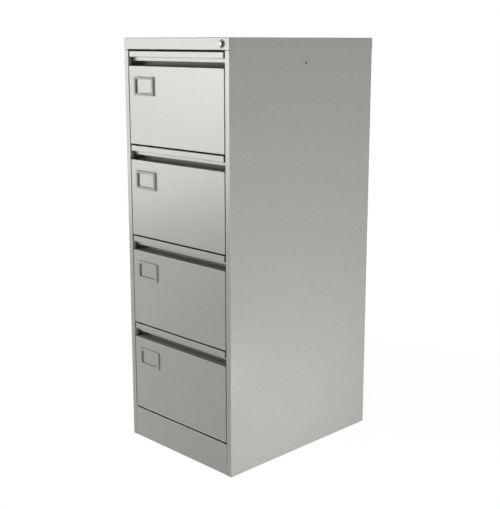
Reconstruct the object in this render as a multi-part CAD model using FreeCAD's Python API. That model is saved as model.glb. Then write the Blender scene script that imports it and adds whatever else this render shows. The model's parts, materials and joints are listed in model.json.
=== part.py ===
import FreeCAD, Part

import math
import os

from FreeCAD import Vector

os.makedirs("parts", exist_ok=True)

# A four-drawer steel filing cabinet, folded from 1 mm sheet.
# Working frame: x to the right seen from the front, z up from the floor, and y measured
# backwards from the front plane. export() then moves y so that the whole is centred.

# ---- Driving dimensions, millimetres ----

WIDTH = 475.0
DEPTH = 630.0                 # front plane to the rear edge of the cap
HEIGHT = 1300.0
SHEET = 1.0                   # every folded panel
HEAVY = 1.2                   # uprights and runner members
FLOOR_GAP = 1.0               # the panels stop this far above the floor, on the glides
CREASE = 0.8                  # inside radius of the tighter folds
HEM = 3.0                     # depth of an edge folded back on itself
EDGE_BREAK = 0.9              # along the painted edges of the cap and the drawer fronts
CUT = 5.0                     # cutting tools reach this far past the metal

CAP_HEIGHT = 35.0
CAP_OVERHANG = 2.0            # of the cap behind the back of the body
CAP_SEAM = 1.5                # between the fascia and the stiles

STILE = 19.2                  # width of the front stiles
STILE_RETURN = 13.0           # their fold into the opening
STILE_BEND = 2.0              # inside radius
REAR_FLANGE = 20.0
PLINTH_HEIGHT = 100.0

DRAWERS = 4
REVEAL = 5.0                  # dark gap above and below each drawer
SIDE_GAP = 3.3                # between a drawer front and the stiles
DRAWER_TRAVEL = 540.0

FRONT_DEPTH = 18.0            # the folded pan of the main panel
PULL_HEIGHT = 45.0            # from the drawer's top down to the main panel
PULL_LIP = 18.0               # flush strip along the top
PULL_LIP_INSET = 3.5          # its ends stop short of the drawer front's
PULL_STEP = 17.0              # how far the grip flange lies behind the strip
PULL_FLANGE_END = 30.5        # foot of the grip flange, below the drawer's top
PULL_LID_DROP = 8.0           # the lid lies this far below the strip's hemmed top edge
HOLLOW_DEPTH = 47.0           # finger hollow, front plane to its rear wall

TRAY_HALF = 206.0             # tray half width outside
TRAY_REAR = 575.0
TRAY_FLOOR = 12.0             # above the drawer's lower edge
TRAY_TOP = 248.0
TRAY_BEND = 1.2
TRAY_HEM = 10.0
TRAY_HEM_LIP = 6.0
TRAY_PLAY = 2.0               # between the tray's front wall and the pan it closes

RUNNER_FRONT = 22.0
RUNNER_LENGTH = 545.0
RUNNER_HEIGHT = 95.0          # runner centre above the drawer's lower edge
CAGE_START = 200.0
CAGE_LENGTH = 180.0

LABEL_WIDTH = 92.5
LABEL_HEIGHT = 57.0
LABEL_PROUD = 5.5

LOCK_X = 205.5
LOCK_PROUD = 7.0              # the plunger stands out this far when it is unlocked
LOCK_TRAVEL = 5.0

# ---- Derived dimensions ----

HALF = WIDTH / 2
OPENING = HALF - STILE
FRONT_HALF = OPENING - SIDE_GAP
BODY_DEPTH = DEPTH - CAP_OVERHANG
CAP_BOTTOM = HEIGHT - CAP_HEIGHT
STILE_TOP = CAP_BOTTOM - CAP_SEAM
PITCH = (CAP_BOTTOM - PLINTH_HEIGHT - REVEAL) / DRAWERS
DRAWER_HEIGHT = PITCH - REVEAL
MAIN_TOP = DRAWER_HEIGHT - PULL_HEIGHT
WALL = HALF - SHEET           # inner face of the cabinet's side walls
LOCK_Z = HEIGHT - CAP_HEIGHT / 2
CENTRE_Y = (DEPTH - LOCK_PROUD) / 2


def drawer_base(number):
    """Height of a drawer's lower edge. Drawer 1 is the top one."""
    return PLINTH_HEIGHT + REVEAL + PITCH * (DRAWERS - number)


def export(name, shape):
    """Centre the piece on the cabinet's footprint and write it as its own STEP file."""
    placed = shape.copy()
    placed.translate(Vector(0, -CENTRE_Y, 0))
    placed.exportStep("parts/" + name + ".step")


# ---- Shape helpers ----

def block(x0, x1, y0, y1, z0, z1):
    return Part.makeBox(x1 - x0, y1 - y0, z1 - z0, Vector(x0, y0, z0))


def rod(radius, start, end):
    """Round bar from start to end."""
    axis = end - start
    return Part.makeCylinder(radius, axis.Length, start, axis)


def fuse(shapes):
    joined = shapes[0].multiFuse(shapes[1:])
    return joined.removeSplitter()


def group(shapes):
    """Separate solids kept in one piece file."""
    return Part.makeCompound(shapes)


def mirrored(shape):
    """The same piece on the other side of the cabinet."""
    return shape.mirror(Vector(0, 0, 0), Vector(1, 0, 0))


def pair(shape):
    return group([shape, mirrored(shape)])


# A profile lies in one of three planes and is pushed along the remaining axis.

def along_x(a, b):
    return Vector(0, a, b)


def along_y(a, b):
    return Vector(a, 0, b)


def along_z(a, b):
    return Vector(a, b, 0)


PUSH = {along_x: Vector(1, 0, 0), along_y: Vector(0, 1, 0), along_z: Vector(0, 0, 1)}


def pushed(face, plane, start, end):
    """Extrude a profile face along its plane's axis, from start to end."""
    placed = face.copy()
    placed.translate(PUSH[plane] * start)
    return placed.extrude(PUSH[plane] * (end - start))


def polygon(points, plane, start, end):
    corners = [plane(a, b) for a, b in points]
    return pushed(Part.Face(Part.makePolygon(corners + corners[:1])), plane, start, end)


def left_of(direction):
    return Vector(-direction.y, direction.x, 0)


def sheet_run(points, thickness, bends, offset):
    """One face of a bent sheet: a list of (start, middle, end) folds between its two ends.

    points is the guiding face; bends are the inside radii, 0 for a crisp crease; offset is
    how far the wanted face lies to the left of the guiding one.
    """
    knots = [Vector(a, b, 0) for a, b in points]
    folds = []
    for before, here, after, bend in zip(knots, knots[1:], knots[2:], bends):
        incoming = (here - before).normalize()
        outgoing = (after - here).normalize()
        if bend == 0:
            shift = left_of(incoming) + left_of(outgoing)
            corner = here + shift * (offset / (1 + incoming.dot(outgoing)))
            folds.append((corner, None, corner))
            continue
        side = 1.0 if incoming.cross(outgoing).z > 0 else -1.0
        guide = bend + thickness if side > 0 else bend
        angle = math.acos(max(-1.0, min(1.0, incoming.dot(outgoing))))
        reach = guide * math.tan(angle / 2)
        first = here - incoming * reach
        last = here + outgoing * reach
        centre = first + left_of(incoming) * (guide * side)
        middle = centre + (here - centre).normalize() * (guide - offset * side)
        folds.append((first + left_of(incoming) * offset, middle, last + left_of(outgoing) * offset))
    head = knots[0] + left_of((knots[1] - knots[0]).normalize()) * offset
    tail = knots[-1] + left_of((knots[-1] - knots[-2]).normalize()) * offset
    return head, folds, tail


def bent_sheet(points, plane, start, end, thickness=SHEET, bends=None):
    """A folded sheet: its profile is bent along points, with the metal on their left."""
    bends = bends or [0] * (len(points) - 2)

    def placed(point):
        return plane(point.x, point.y)

    def run_edges(offset, backwards):
        head, folds, tail = sheet_run(points, thickness, bends, offset)
        if backwards:
            head, tail = tail, head
            folds = [(c, b, a) for a, b, c in reversed(folds)]
        edges = []
        last = head
        for first, middle, following in folds:
            edges.append(Part.makeLine(placed(last), placed(first)))
            if middle:
                edges.append(Part.Arc(placed(first), placed(middle), placed(following)).toShape())
            last = following
        edges.append(Part.makeLine(placed(last), placed(tail)))
        return edges, placed(head), placed(tail)

    near, near_head, near_tail = run_edges(0.0, False)
    far, far_head, far_tail = run_edges(thickness, True)
    outline = near + [Part.makeLine(near_tail, far_head)] + far + [Part.makeLine(far_tail, near_head)]
    return pushed(Part.Face(Part.Wire(outline)), plane, start, end)


def edges_where(shape, test):
    """Edges whose middle point and direction pass the test."""
    found = []
    for edge in shape.Edges:
        if test(edge.CenterOfMass, edge.tangentAt(edge.FirstParameter)):
            found.append(edge)
    return found


def upright(middle, direction):
    return abs(direction.z) > 0.9


def turned(outline, axis, place):
    """Solid turned about an upright or a front-to-back axis. The outline is (radius, height)."""
    if axis == "z":
        corners = [Vector(r, 0, a) for r, a in outline]
        direction = Vector(0, 0, 1)
    else:
        corners = [Vector(r, a, 0) for r, a in outline]
        direction = Vector(0, 1, 0)
    solid = Part.Face(Part.makePolygon(corners + corners[:1])).revolve(Vector(0, 0, 0), direction, 360)
    solid.translate(place)
    return solid


# ---- Carcass ----

LINK_HOLE_Z = HEIGHT - 74.0
LINK_HOLE_RADIUS = 3.5
DOUBLER_START = 60.0
DOUBLER_END = BODY_DEPTH - 40.0
DOUBLER_REACH = 25.0          # above and below the cap's lower edge
BASE_FOOT = 10.0
BASE_TOP = 30.0


def side_panel():
    """Right-hand side: wall, front stile with its return, rear flange, and a doubler for the cap."""
    outline = [
        (OPENING, STILE_RETURN),
        (OPENING, 0),
        (HALF, 0),
        (HALF, BODY_DEPTH),
        (HALF - REAR_FLANGE, BODY_DEPTH),
    ]
    bends = [0, STILE_BEND, STILE_BEND]
    folded = bent_sheet(outline, along_z, FLOOR_GAP, STILE_TOP, bends=bends)
    bend_out = STILE_BEND + SHEET
    rim = block(WALL, HALF, bend_out, BODY_DEPTH - bend_out, STILE_TOP - SHEET, CAP_BOTTOM)
    low, high = CAP_BOTTOM - DOUBLER_REACH, CAP_BOTTOM + DOUBLER_REACH
    doubler = block(WALL - SHEET, WALL, DOUBLER_START, DOUBLER_END, low, high)
    middle = DEPTH / 2
    link_hole = rod(
        LINK_HOLE_RADIUS,
        Vector(WALL - CUT, middle, LINK_HOLE_Z),
        Vector(HALF + CUT, middle, LINK_HOLE_Z),
    )
    return fuse([folded, rim, doubler]).cut(link_hole)


CAP_SCREW_X = (-180.0, 180.0)
CAP_SCREW_Z = CAP_BOTTOM + 14
CAP_SCREW_HEAD = 4.0
CAP_SCREW_SHANK = 2.0
CAP_SCREW_LENGTH = 9.0
SCREW_PLAY = 0.1
BACK_RISE = 24.0              # of the back panel inside the cap
BACK_FOLD = 16.0


def cap_screw(x):
    """Countersunk screw through the cap's rear skirt into the back panel."""
    outline = [
        (0, 0),
        (CAP_SCREW_HEAD, 0),
        (CAP_SCREW_SHANK, CAP_SCREW_SHANK - CAP_SCREW_HEAD),
        (CAP_SCREW_SHANK, -CAP_SCREW_LENGTH),
        (0, -CAP_SCREW_LENGTH),
    ]
    return turned(outline, "y", Vector(x, DEPTH, CAP_SCREW_Z))


def back_panel():
    """Flat back lying on the rear flanges, folded forwards along its top."""
    wall = BODY_DEPTH - SHEET
    top = CAP_BOTTOM + BACK_RISE
    half = WALL - STILE_BEND
    panel = bent_sheet([(wall, BASE_FOOT), (wall, top), (wall - BACK_FOLD, top)], along_x, -half, half)
    radius = CAP_SCREW_SHANK + SCREW_PLAY
    holes = []
    for x in CAP_SCREW_X:
        holes.append(rod(radius, Vector(x, wall - CUT, CAP_SCREW_Z), Vector(x, wall + CUT, CAP_SCREW_Z)))
    return panel.cut(group(holes))


CAP_END_PLAY = 1.0            # between the fascia's folded foot and the stiles' returns
CAP_FOOT_RISE = 8.0
CAP_FOOT_DEPTH = 14.0
LOCK_BARREL = 10.0
LOCK_PLAY = 0.1


def top_cap():
    """Folded pan: top, front fascia with the lock hole and a folded foot, sides and rear skirt."""
    skin = block(-HALF, HALF, 0, DEPTH, CAP_BOTTOM, HEIGHT)
    skin = skin.makeChamfer(EDGE_BREAK, edges_where(skin, upright))
    skin = skin.makeChamfer(EDGE_BREAK, edges_where(skin, lambda m, d: m.z > HEIGHT - 0.01))
    pan = skin.cut(block(-WALL, WALL, SHEET, DEPTH - SHEET, CAP_BOTTOM - CUT, HEIGHT - SHEET))
    end = OPENING - CAP_END_PLAY
    rise = CAP_BOTTOM + CAP_FOOT_RISE
    window = block(-end, end, -CUT, SHEET + CUT, CAP_BOTTOM - CUT, rise)
    foot = bent_sheet(
        [(0, rise), (0, CAP_BOTTOM), (CAP_FOOT_DEPTH, CAP_BOTTOM)], along_x, -end, end, bends=[CREASE]
    )
    lock_hole = rod(LOCK_BARREL + LOCK_PLAY, Vector(LOCK_X, -CUT, LOCK_Z), Vector(LOCK_X, CUT, LOCK_Z))
    return fuse([pan.cut(window), foot]).cut(group([lock_hole] + [cap_screw(x) for x in CAP_SCREW_X]))


PLINTH_PLAY = 0.8             # between the plinth and the stiles' returns
PLINTH_HEM_DROP = 14.0
PLINTH_FOOT = 20.0


def plinth_panel():
    """Flush panel under the lowest drawer: hemmed along its top, folded back at its foot."""
    outline = [
        (HEM, PLINTH_HEIGHT - PLINTH_HEM_DROP),
        (HEM, PLINTH_HEIGHT),
        (0, PLINTH_HEIGHT),
        (0, FLOOR_GAP),
        (PLINTH_FOOT, FLOOR_GAP),
    ]
    half = OPENING - PLINTH_PLAY
    return bent_sheet(outline, along_x, -half, half, bends=[0, CREASE, 0])


BASE_FRONT = 26.0
NUT_RADIUS = 7.5
NUT_HEIGHT = 7.0
STUD_RADIUS = 4.0
STUD_TOP = 48.0
STUD_PLAY = 0.05
GLIDE_RADIUS = 17.0
GLIDE_TOP_RADIUS = 14.0
GLIDE_HEIGHT = 7.0
GLIDE_INSET = 70.0
GLIDE_PLACES = [(x, y) for x in (-200.0, 200.0) for y in (GLIDE_INSET, BODY_DEPTH - GLIDE_INSET)]


def base_pan():
    """Upturned tray that ties the sides together and carries the weld nuts of the glides."""
    front, rear = BASE_FRONT, BODY_DEPTH - SHEET - STILE_BEND
    skin = block(-WALL, WALL, front, rear, BASE_FOOT, BASE_TOP)
    inner = WALL - SHEET
    pieces = [skin.cut(block(-inner, inner, front + SHEET, rear - SHEET, 0, BASE_TOP - SHEET))]
    foot = BASE_TOP - SHEET / 2
    bores = []
    for x, y in GLIDE_PLACES:
        corners = []
        for k in range(7):
            angle = math.pi / 3 * k
            corners.append(Vector(x + NUT_RADIUS * math.cos(angle), y + NUT_RADIUS * math.sin(angle), foot))
        pieces.append(Part.Face(Part.makePolygon(corners)).extrude(Vector(0, 0, NUT_HEIGHT)))
        bores.append(rod(STUD_RADIUS + STUD_PLAY, Vector(x, y, 0), Vector(x, y, STUD_TOP)))
    return fuse(pieces).cut(group(bores))


def levelling_glide(x, y):
    """Nylon-footed screw: a turned foot under an M8 stud."""
    outline = [
        (0, 0),
        (GLIDE_RADIUS, 0),
        (GLIDE_TOP_RADIUS, GLIDE_HEIGHT),
        (STUD_RADIUS, GLIDE_HEIGHT),
        (STUD_RADIUS, STUD_TOP),
        (0, STUD_TOP),
    ]
    return turned(outline, "z", Vector(x, y, 0))


UPRIGHT_PLACES = (75.0, 545.0)
UPRIGHT_WEB = OPENING + 0.7
UPRIGHT_TOP = CAP_BOTTOM - 30.0
UPRIGHT_HALF = 15.0
UPRIGHT_FLANGE = 12.0
HOOK_SLOT_RISE = 34.0         # of the slots above the runner's centre
HOOK_SLOT_WIDTH = 4.0
HOOK_SLOT_HEIGHT = 14.0
TIE_FRONT = 62.0
TIE_DEPTH = 16.0
TIE_RISE = 266.0              # of a tie rail above the lower edge of the drawer beneath it


def runner_uprights():
    """Hat-section posts on both walls; each runner hooks into a slot of both posts beside it."""
    posts = []
    face = UPRIGHT_WEB + HEAVY
    for y in UPRIGHT_PLACES:
        outline = [
            (WALL, y - UPRIGHT_HALF - UPRIGHT_FLANGE),
            (WALL, y - UPRIGHT_HALF),
            (face, y - UPRIGHT_HALF),
            (face, y + UPRIGHT_HALF),
            (WALL, y + UPRIGHT_HALF),
            (WALL, y + UPRIGHT_HALF + UPRIGHT_FLANGE),
        ]
        post = bent_sheet(outline, along_z, BASE_TOP, UPRIGHT_TOP, thickness=HEAVY)
        slots = []
        for number in range(1, DRAWERS + 1):
            z = drawer_base(number) + RUNNER_HEIGHT + HOOK_SLOT_RISE
            low, high = z - HOOK_SLOT_HEIGHT / 2, z + HOOK_SLOT_HEIGHT / 2
            front, rear = y - HOOK_SLOT_WIDTH / 2, y + HOOK_SLOT_WIDTH / 2
            slots.append(block(UPRIGHT_WEB - HEAVY, face + HEAVY, front, rear, low, high))
        posts.append(post.cut(group(slots)))
    return group(posts + [mirrored(p) for p in posts])


def tie_rails():
    """Channels across the front between the drawers, set back behind the finger hollows."""
    rear = TIE_FRONT + TIE_DEPTH
    rails = []
    for number in range(2, DRAWERS + 1):
        low = drawer_base(number) + TIE_RISE
        high = low + TIE_DEPTH
        outline = [(rear, high), (TIE_FRONT, high), (TIE_FRONT, low), (rear, low)]
        rails.append(bent_sheet(outline, along_x, -UPRIGHT_WEB, UPRIGHT_WEB))
    return group(rails)


# ---- Telescopic runners ----
# Three nested channels on each side of a drawer: cabinet member, slide, drawer member.
# Nylon strips hold the balls that run above and below, between each pair of members.
# Each flange ends in a lip that keeps the balls in their race.

BUFFER_LENGTH = 7.0
BUFFER_HALF = 8.0
BUFFER_INNER = TRAY_HALF + 5.0
BUFFER_PLAY = 0.5
MEMBER_TAIL = 4.0             # the cabinet member carries on behind its buffer
CABINET_MEMBER_HALF = 22.5    # half heights of the three members
SLIDE_MEMBER_HALF = 17.5
DRAWER_MEMBER_HALF = 12.2
CABINET_MEMBER_LIP = 3.0
SLIDE_MEMBER_LIP = 2.9
DRAWER_MEMBER_LIP = 1.5
DRAWER_MEMBER_REACH = 7.0     # of its flanges from the tray's side
CABINET_MEMBER_X = UPRIGHT_WEB
SLIDE_MEMBER_X = CABINET_MEMBER_X - HEAVY - 1.2
FLANGE_TIP = TRAY_HALF + 2.4
STRIP_WIDTH = 2.6
STRIP_THICK = 1.0
OUTER_BALLS = (TRAY_HALF + 6.5, 19.4)     # x, and height above the runner's centre
INNER_BALLS = (TRAY_HALF + 5.2, 14.2)


def channel(web, half_height, lip, length, centre):
    """Outer kind of member, right-hand side: open towards the drawer, lips turned inwards."""
    high = centre + half_height
    low = centre - half_height
    outline = [
        (FLANGE_TIP, low + lip),
        (FLANGE_TIP, low),
        (web, low),
        (web, high),
        (FLANGE_TIP, high),
        (FLANGE_TIP, high - lip),
    ]
    return bent_sheet(outline, along_y, RUNNER_FRONT, RUNNER_FRONT + length, thickness=HEAVY)


def cabinet_member(centre):
    length = RUNNER_LENGTH + BUFFER_LENGTH + MEMBER_TAIL
    return channel(CABINET_MEMBER_X, CABINET_MEMBER_HALF, CABINET_MEMBER_LIP, length, centre)


def slide_member(centre):
    return channel(SLIDE_MEMBER_X, SLIDE_MEMBER_HALF, SLIDE_MEMBER_LIP, RUNNER_LENGTH, centre)


def drawer_member(centre):
    """Web screwed to the tray; flanges reach into the slide, lips turned outwards."""
    high = centre + DRAWER_MEMBER_HALF
    low = centre - DRAWER_MEMBER_HALF
    tip = TRAY_HALF + DRAWER_MEMBER_REACH
    inner = TRAY_HALF + HEAVY
    outline = [
        (tip, high + DRAWER_MEMBER_LIP),
        (tip, high - HEAVY),
        (inner, high - HEAVY),
        (inner, low + HEAVY),
        (tip, low + HEAVY),
        (tip, low - DRAWER_MEMBER_LIP),
    ]
    return bent_sheet(outline, along_y, RUNNER_FRONT, RUNNER_FRONT + RUNNER_LENGTH, thickness=HEAVY)


def ball_strips(race, centre):
    """Nylon ball retainers of one cage set: above and below, left and right."""
    x, offset = race
    x0, x1 = x - STRIP_WIDTH / 2, x + STRIP_WIDTH / 2
    strips = []
    for z in (centre + offset, centre - offset):
        low, high = z - STRIP_THICK / 2, z + STRIP_THICK / 2
        strips.append(block(x0, x1, CAGE_START, CAGE_START + CAGE_LENGTH, low, high))
    return group(strips + [mirrored(s) for s in strips])


def runner_buffer(centre):
    """Rubber block inside the rear end of a cabinet member."""
    front = RUNNER_FRONT + RUNNER_LENGTH + BUFFER_PLAY
    rear = front + BUFFER_LENGTH
    outer = CABINET_MEMBER_X - HEAVY
    return block(BUFFER_INNER, outer, front, rear, centre - BUFFER_HALF, centre + BUFFER_HALF)


# ---- Drawers ----

FRONT_CORNER = 4.5            # radius of the main panel's top corners
CORNER_ZONE = FRONT_CORNER + 0.5
CHEEK_FRONT = 25.0            # the hollow's end cheeks start here
PULL_REAR_FOLD = 12.0
PULL_ROLL_DEPTH = 5.5
PULL_ROLL_HEIGHT = 7.0
TRAY_SLOTS = 5
TRAY_SLOT_LENGTH = 34.0
TRAY_SLOT_WIDTH = 6.0
TRAY_STEP = 6.0               # the side walls drop to the pan this far behind the hollow
LOCK_TAB_Y = 48.5
LOCK_TAB_Z = 205.0
LOCK_TAB_WIDTH = 9.5
LOCK_TAB_THICK = 2.0
LOCK_TAB_HEIGHT = 16.0
BACK_PAN_DEPTH = 12.0
BACK_PAN_TOP = 228.0
BACK_PAN_CHAMFER = 1.3        # clears the tray's floor bends
FILE_RAIL_WIDTH = 12.0
FILE_RAIL_RISE = 8.0
FILE_RAIL_END = TRAY_REAR - 15.0
LABEL_X = -FRONT_HALF + 74.0
LABEL_Z = MAIN_TOP - 60.5
LABEL_BAR = 7.5               # width of the frame's bars
LABEL_LAP = 3.0               # the card pocket is this much wider than the window
LABEL_POCKET = 1.4
LABEL_CORNER = 1.5
LABEL_LUG = 44.0              # lugs of the label frame, left and right of its centre
LUG_WIDTH = 3.0
LUG_HEIGHT = 8.0
LUG_LENGTH = 4.0
LUG_PLAY = 0.1


def lug_pair(play, y0, y1, z):
    """Two small blocks on the label frame's centre line."""
    half_w = LUG_WIDTH / 2 + play
    half_h = LUG_HEIGHT / 2 + play
    return [
        block(x - half_w, x + half_w, y0, y1, z - half_h, z + half_h)
        for x in (LABEL_X - LABEL_LUG, LABEL_X + LABEL_LUG)
    ]


def drawer_front(base):
    """Main panel as a folded pan, whose top carries on as the floor and rear of the finger hollow."""
    top = base + MAIN_TOP
    skin = block(-FRONT_HALF, FRONT_HALF, 0, FRONT_DEPTH, base, top)
    skin = skin.makeFillet(FRONT_CORNER, edges_where(skin, lambda m, d: abs(d.y) > 0.9 and m.z > top - 1))
    skin = skin.makeChamfer(EDGE_BREAK, edges_where(skin, lambda m, d: m.y < 0.01))
    rear = FRONT_DEPTH + CUT
    shoulder = top - CORNER_ZONE
    inner = FRONT_HALF - SHEET
    pan = skin.cut(block(-inner, inner, SHEET, rear, base + SHEET, shoulder))
    inner = FRONT_HALF - CORNER_ZONE
    pan = pan.cut(block(-inner, inner, SHEET, rear, shoulder - SHEET, top - SHEET))
    lid = base + DRAWER_HEIGHT - PULL_LID_DROP - SHEET
    fold = [(HOLLOW_DEPTH, lid), (HOLLOW_DEPTH, top), (FRONT_DEPTH - SHEET, top)]
    hollow = bent_sheet(fold, along_x, -inner, inner)
    overlap = SHEET / 2
    cheek = block(inner - SHEET, inner, CHEEK_FRONT, HOLLOW_DEPTH + overlap, top - overlap, lid)
    holes = lug_pair(LUG_PLAY, -CUT, LUG_LENGTH, base + LABEL_Z)
    return fuse([pan, hollow, cheek, mirrored(cheek)]).cut(group(holes))


def drawer_pull(base):
    """Folded grip: stepped lid of the hollow, flush strip, step back, and a flange with a rolled foot."""
    top = base + DRAWER_HEIGHT
    lid = top - PULL_LID_DROP
    lip_foot = top - PULL_LIP
    flange_foot = top - PULL_FLANGE_END
    rear = HOLLOW_DEPTH + 2 * SHEET
    roll = PULL_STEP + PULL_ROLL_DEPTH
    outline = [
        (rear, lid - PULL_REAR_FOLD),
        (rear, lid),
        (HEM, lid),
        (HEM, top),
        (0, top),
        (0, lip_foot),
        (PULL_STEP, lip_foot),
        (PULL_STEP, flange_foot),
        (roll, flange_foot),
        (roll, flange_foot + PULL_ROLL_HEIGHT),
    ]
    bends = [0, 0, 0, CREASE, 0, 0, 0, 0]
    grip = bent_sheet(outline, along_x, -FRONT_HALF, FRONT_HALF, bends=bends)
    end = FRONT_HALF - PULL_LIP_INSET
    nick = block(end, FRONT_HALF + CUT, -CUT, PULL_STEP - CUT, lip_foot - CUT, top + CUT)
    return grip.cut(group([nick, mirrored(nick)]))


def drawer_tray(base):
    """Floor with its two bends, side walls, hems, front wall and lock tabs, meeting at the fold lines."""
    low = base + TRAY_FLOOR
    high = base + TRAY_TOP
    inner = TRAY_HALF - SHEET
    fold_end = low + TRAY_BEND + 1.2 * SHEET
    outline = [(-TRAY_HALF, fold_end), (-TRAY_HALF, low), (TRAY_HALF, low), (TRAY_HALF, fold_end)]
    front = FRONT_DEPTH + SHEET
    floor = bent_sheet(outline, along_y, front, TRAY_REAR, bends=[TRAY_BEND, TRAY_BEND])
    pitch = (TRAY_REAR - front) / TRAY_SLOTS
    half_w, half_l = TRAY_SLOT_WIDTH / 2, TRAY_SLOT_LENGTH / 2
    for k in range(TRAY_SLOTS):
        y = front + pitch * (k + 0.5)
        floor = floor.cut(block(-half_w, half_w, y - half_l, y + half_l, low - CUT, low + CUT))

    wall_top = base + MAIN_TOP - TRAY_PLAY
    step = HOLLOW_DEPTH + TRAY_STEP
    walls = [
        block(inner, TRAY_HALF, front, step, fold_end, wall_top),
        block(inner, TRAY_HALF, step, TRAY_REAR, fold_end, high - SHEET),
    ]
    drop = TRAY_HALF - TRAY_HEM
    hem = bent_sheet([(TRAY_HALF, high), (drop, high), (drop, high - TRAY_HEM_LIP)], along_y, step, TRAY_REAR)
    foot = base + LOCK_TAB_Z
    tip = TRAY_HALF + LOCK_TAB_WIDTH
    tab = block(TRAY_HALF, tip, LOCK_TAB_Y, LOCK_TAB_Y + LOCK_TAB_THICK, foot, foot + LOCK_TAB_HEIGHT)

    half = FRONT_HALF - TRAY_PLAY
    front_wall = block(-half, half, FRONT_DEPTH, front, base + TRAY_PLAY, wall_top)
    sides = walls + [hem]
    return group([floor, tab, front_wall] + sides + [mirrored(s) for s in sides])


def drawer_back(base):
    """Low pan across the rear of the tray, open towards the files."""
    outer = TRAY_HALF - SHEET
    front, foot, top = TRAY_REAR - BACK_PAN_DEPTH, base + TRAY_FLOOR + SHEET, base + BACK_PAN_TOP
    skin = block(-outer, outer, front, TRAY_REAR, foot, top)
    lower = edges_where(skin, lambda m, d: abs(d.y) > 0.9 and m.z < foot + 1)
    skin = skin.makeChamfer(BACK_PAN_CHAMFER, lower)
    inner = outer - SHEET
    return skin.cut(block(-inner, inner, front - CUT, TRAY_REAR - SHEET, foot + SHEET, top - SHEET))


def file_rail(base):
    """Right-hand rail that suspension files hook over, resting on the tray's hem."""
    high = base + TRAY_TOP
    outer = TRAY_HALF - SHEET
    inner = outer - FILE_RAIL_WIDTH
    front = HOLLOW_DEPTH + TRAY_STEP + SHEET
    outline = [(inner, high + FILE_RAIL_RISE), (inner, high), (outer, high)]
    return bent_sheet(outline, along_y, front, FILE_RAIL_END, thickness=HEAVY)


def label_frame(base):
    """Moulded label holder: a raised frame with a card pocket behind its window, on two lugs."""
    z = base + LABEL_Z
    half_w = LABEL_WIDTH / 2
    half_h = LABEL_HEIGHT / 2
    skin = block(LABEL_X - half_w, LABEL_X + half_w, -LABEL_PROUD, 0, z - half_h, z + half_h)
    skin = skin.makeChamfer(LABEL_CORNER, edges_where(skin, lambda m, d: abs(d.y) > 0.9))
    skin = skin.makeChamfer(EDGE_BREAK, edges_where(skin, lambda m, d: m.y < -LABEL_PROUD + 0.01))
    half_w -= LABEL_BAR
    half_h -= LABEL_BAR
    window = block(LABEL_X - half_w, LABEL_X + half_w, -LABEL_PROUD - CUT, CUT, z - half_h, z + half_h)
    half_w += LABEL_LAP
    half_h += LABEL_LAP
    pocket = block(LABEL_X - half_w, LABEL_X + half_w, -LABEL_POCKET, CUT, z - half_h, z + half_h)
    return fuse([skin.cut(group([window, pocket]))] + lug_pair(0, -LABEL_POCKET, LUG_LENGTH, z))


# ---- Push lock and lock bar ----

LOCK_BORE = 7.58
PLUG_BORE = 5.02
BEZEL_RADIUS = 12.5
BEZEL_FACE = 11.4
BEZEL_PROUD = 2.0
BARREL_LENGTH = 26.0
CLIP_THICK = 1.5
CLIP_HALF = 13.0
CLIP_FLAT = 9.0               # half the distance between the barrel's flats
CLIP_WIDTH = (15.0, 12.5)     # to the left and right of the barrel's axis
FLAT_HALF = 11.0
PLUNGER_RADIUS = 7.5
PLUNGER_EDGE = 0.8
PLUNGER_END = 46.0
PLUG_DEPTH = 15.0
PLUG_PLAY = 0.07
SLOT_WIDTH = 1.8
SLOT_HEIGHT = 7.2
SLOT_DEPTH = 11.0
BAR_Y = 44.0                  # front face of the lock bar
BAR_THICK = 2.0
BAR_EDGE = OPENING + 4.7      # its edge nearest the drawers
BAR_OUTER = WALL - 1.5
BAR_TOP = HEIGHT - 8.0
BAR_TAIL = 20.0
HEAD_HEIGHT = 12.0
RAMP_HEIGHT = 14.0
RAMP_NOSE = 3.0
RAMP_HALF = 5.5
WEDGE_Y = 37.5                # where the plunger's slanted end crosses its axis
WEDGE_PLAY = 0.45             # between the slants, measured front to back
WEDGE_CUT = 12.0
WEDGE_BACK = 20.0
FINGER_HEIGHT = 8.0
FINGER_TIP = TRAY_HALF + 3.0
FINGER_BEVEL = (4.0, 3.0)     # sideways and upwards, under the finger's tip
FINGER_GAP = 1.5              # finger top to lock tab, unlocked
LOCK_PLACE = Vector(LOCK_X, 0, LOCK_Z)


def around_lock(left, right, y0, y1, below, above):
    """Block stated from the lock's axis."""
    return block(LOCK_X - left, LOCK_X + right, y0, y1, LOCK_Z - below, LOCK_Z + above)


def lock_housing():
    """Bezel in front of the fascia and barrel behind it, with two flats for the clip."""
    outline = [
        (LOCK_BORE, -BEZEL_PROUD),
        (BEZEL_FACE, -BEZEL_PROUD),
        (BEZEL_RADIUS, 0),
        (LOCK_BARREL, 0),
        (LOCK_BARREL, BARREL_LENGTH),
        (LOCK_BORE, BARREL_LENGTH),
    ]
    body = turned(outline, "y", LOCK_PLACE)
    rear = SHEET + CLIP_THICK
    flat = around_lock(-CLIP_FLAT, FLAT_HALF, SHEET, rear, FLAT_HALF, FLAT_HALF)
    other = around_lock(FLAT_HALF, -CLIP_FLAT, SHEET, rear, FLAT_HALF, FLAT_HALF)
    return body.cut(group([flat, other]))


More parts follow.
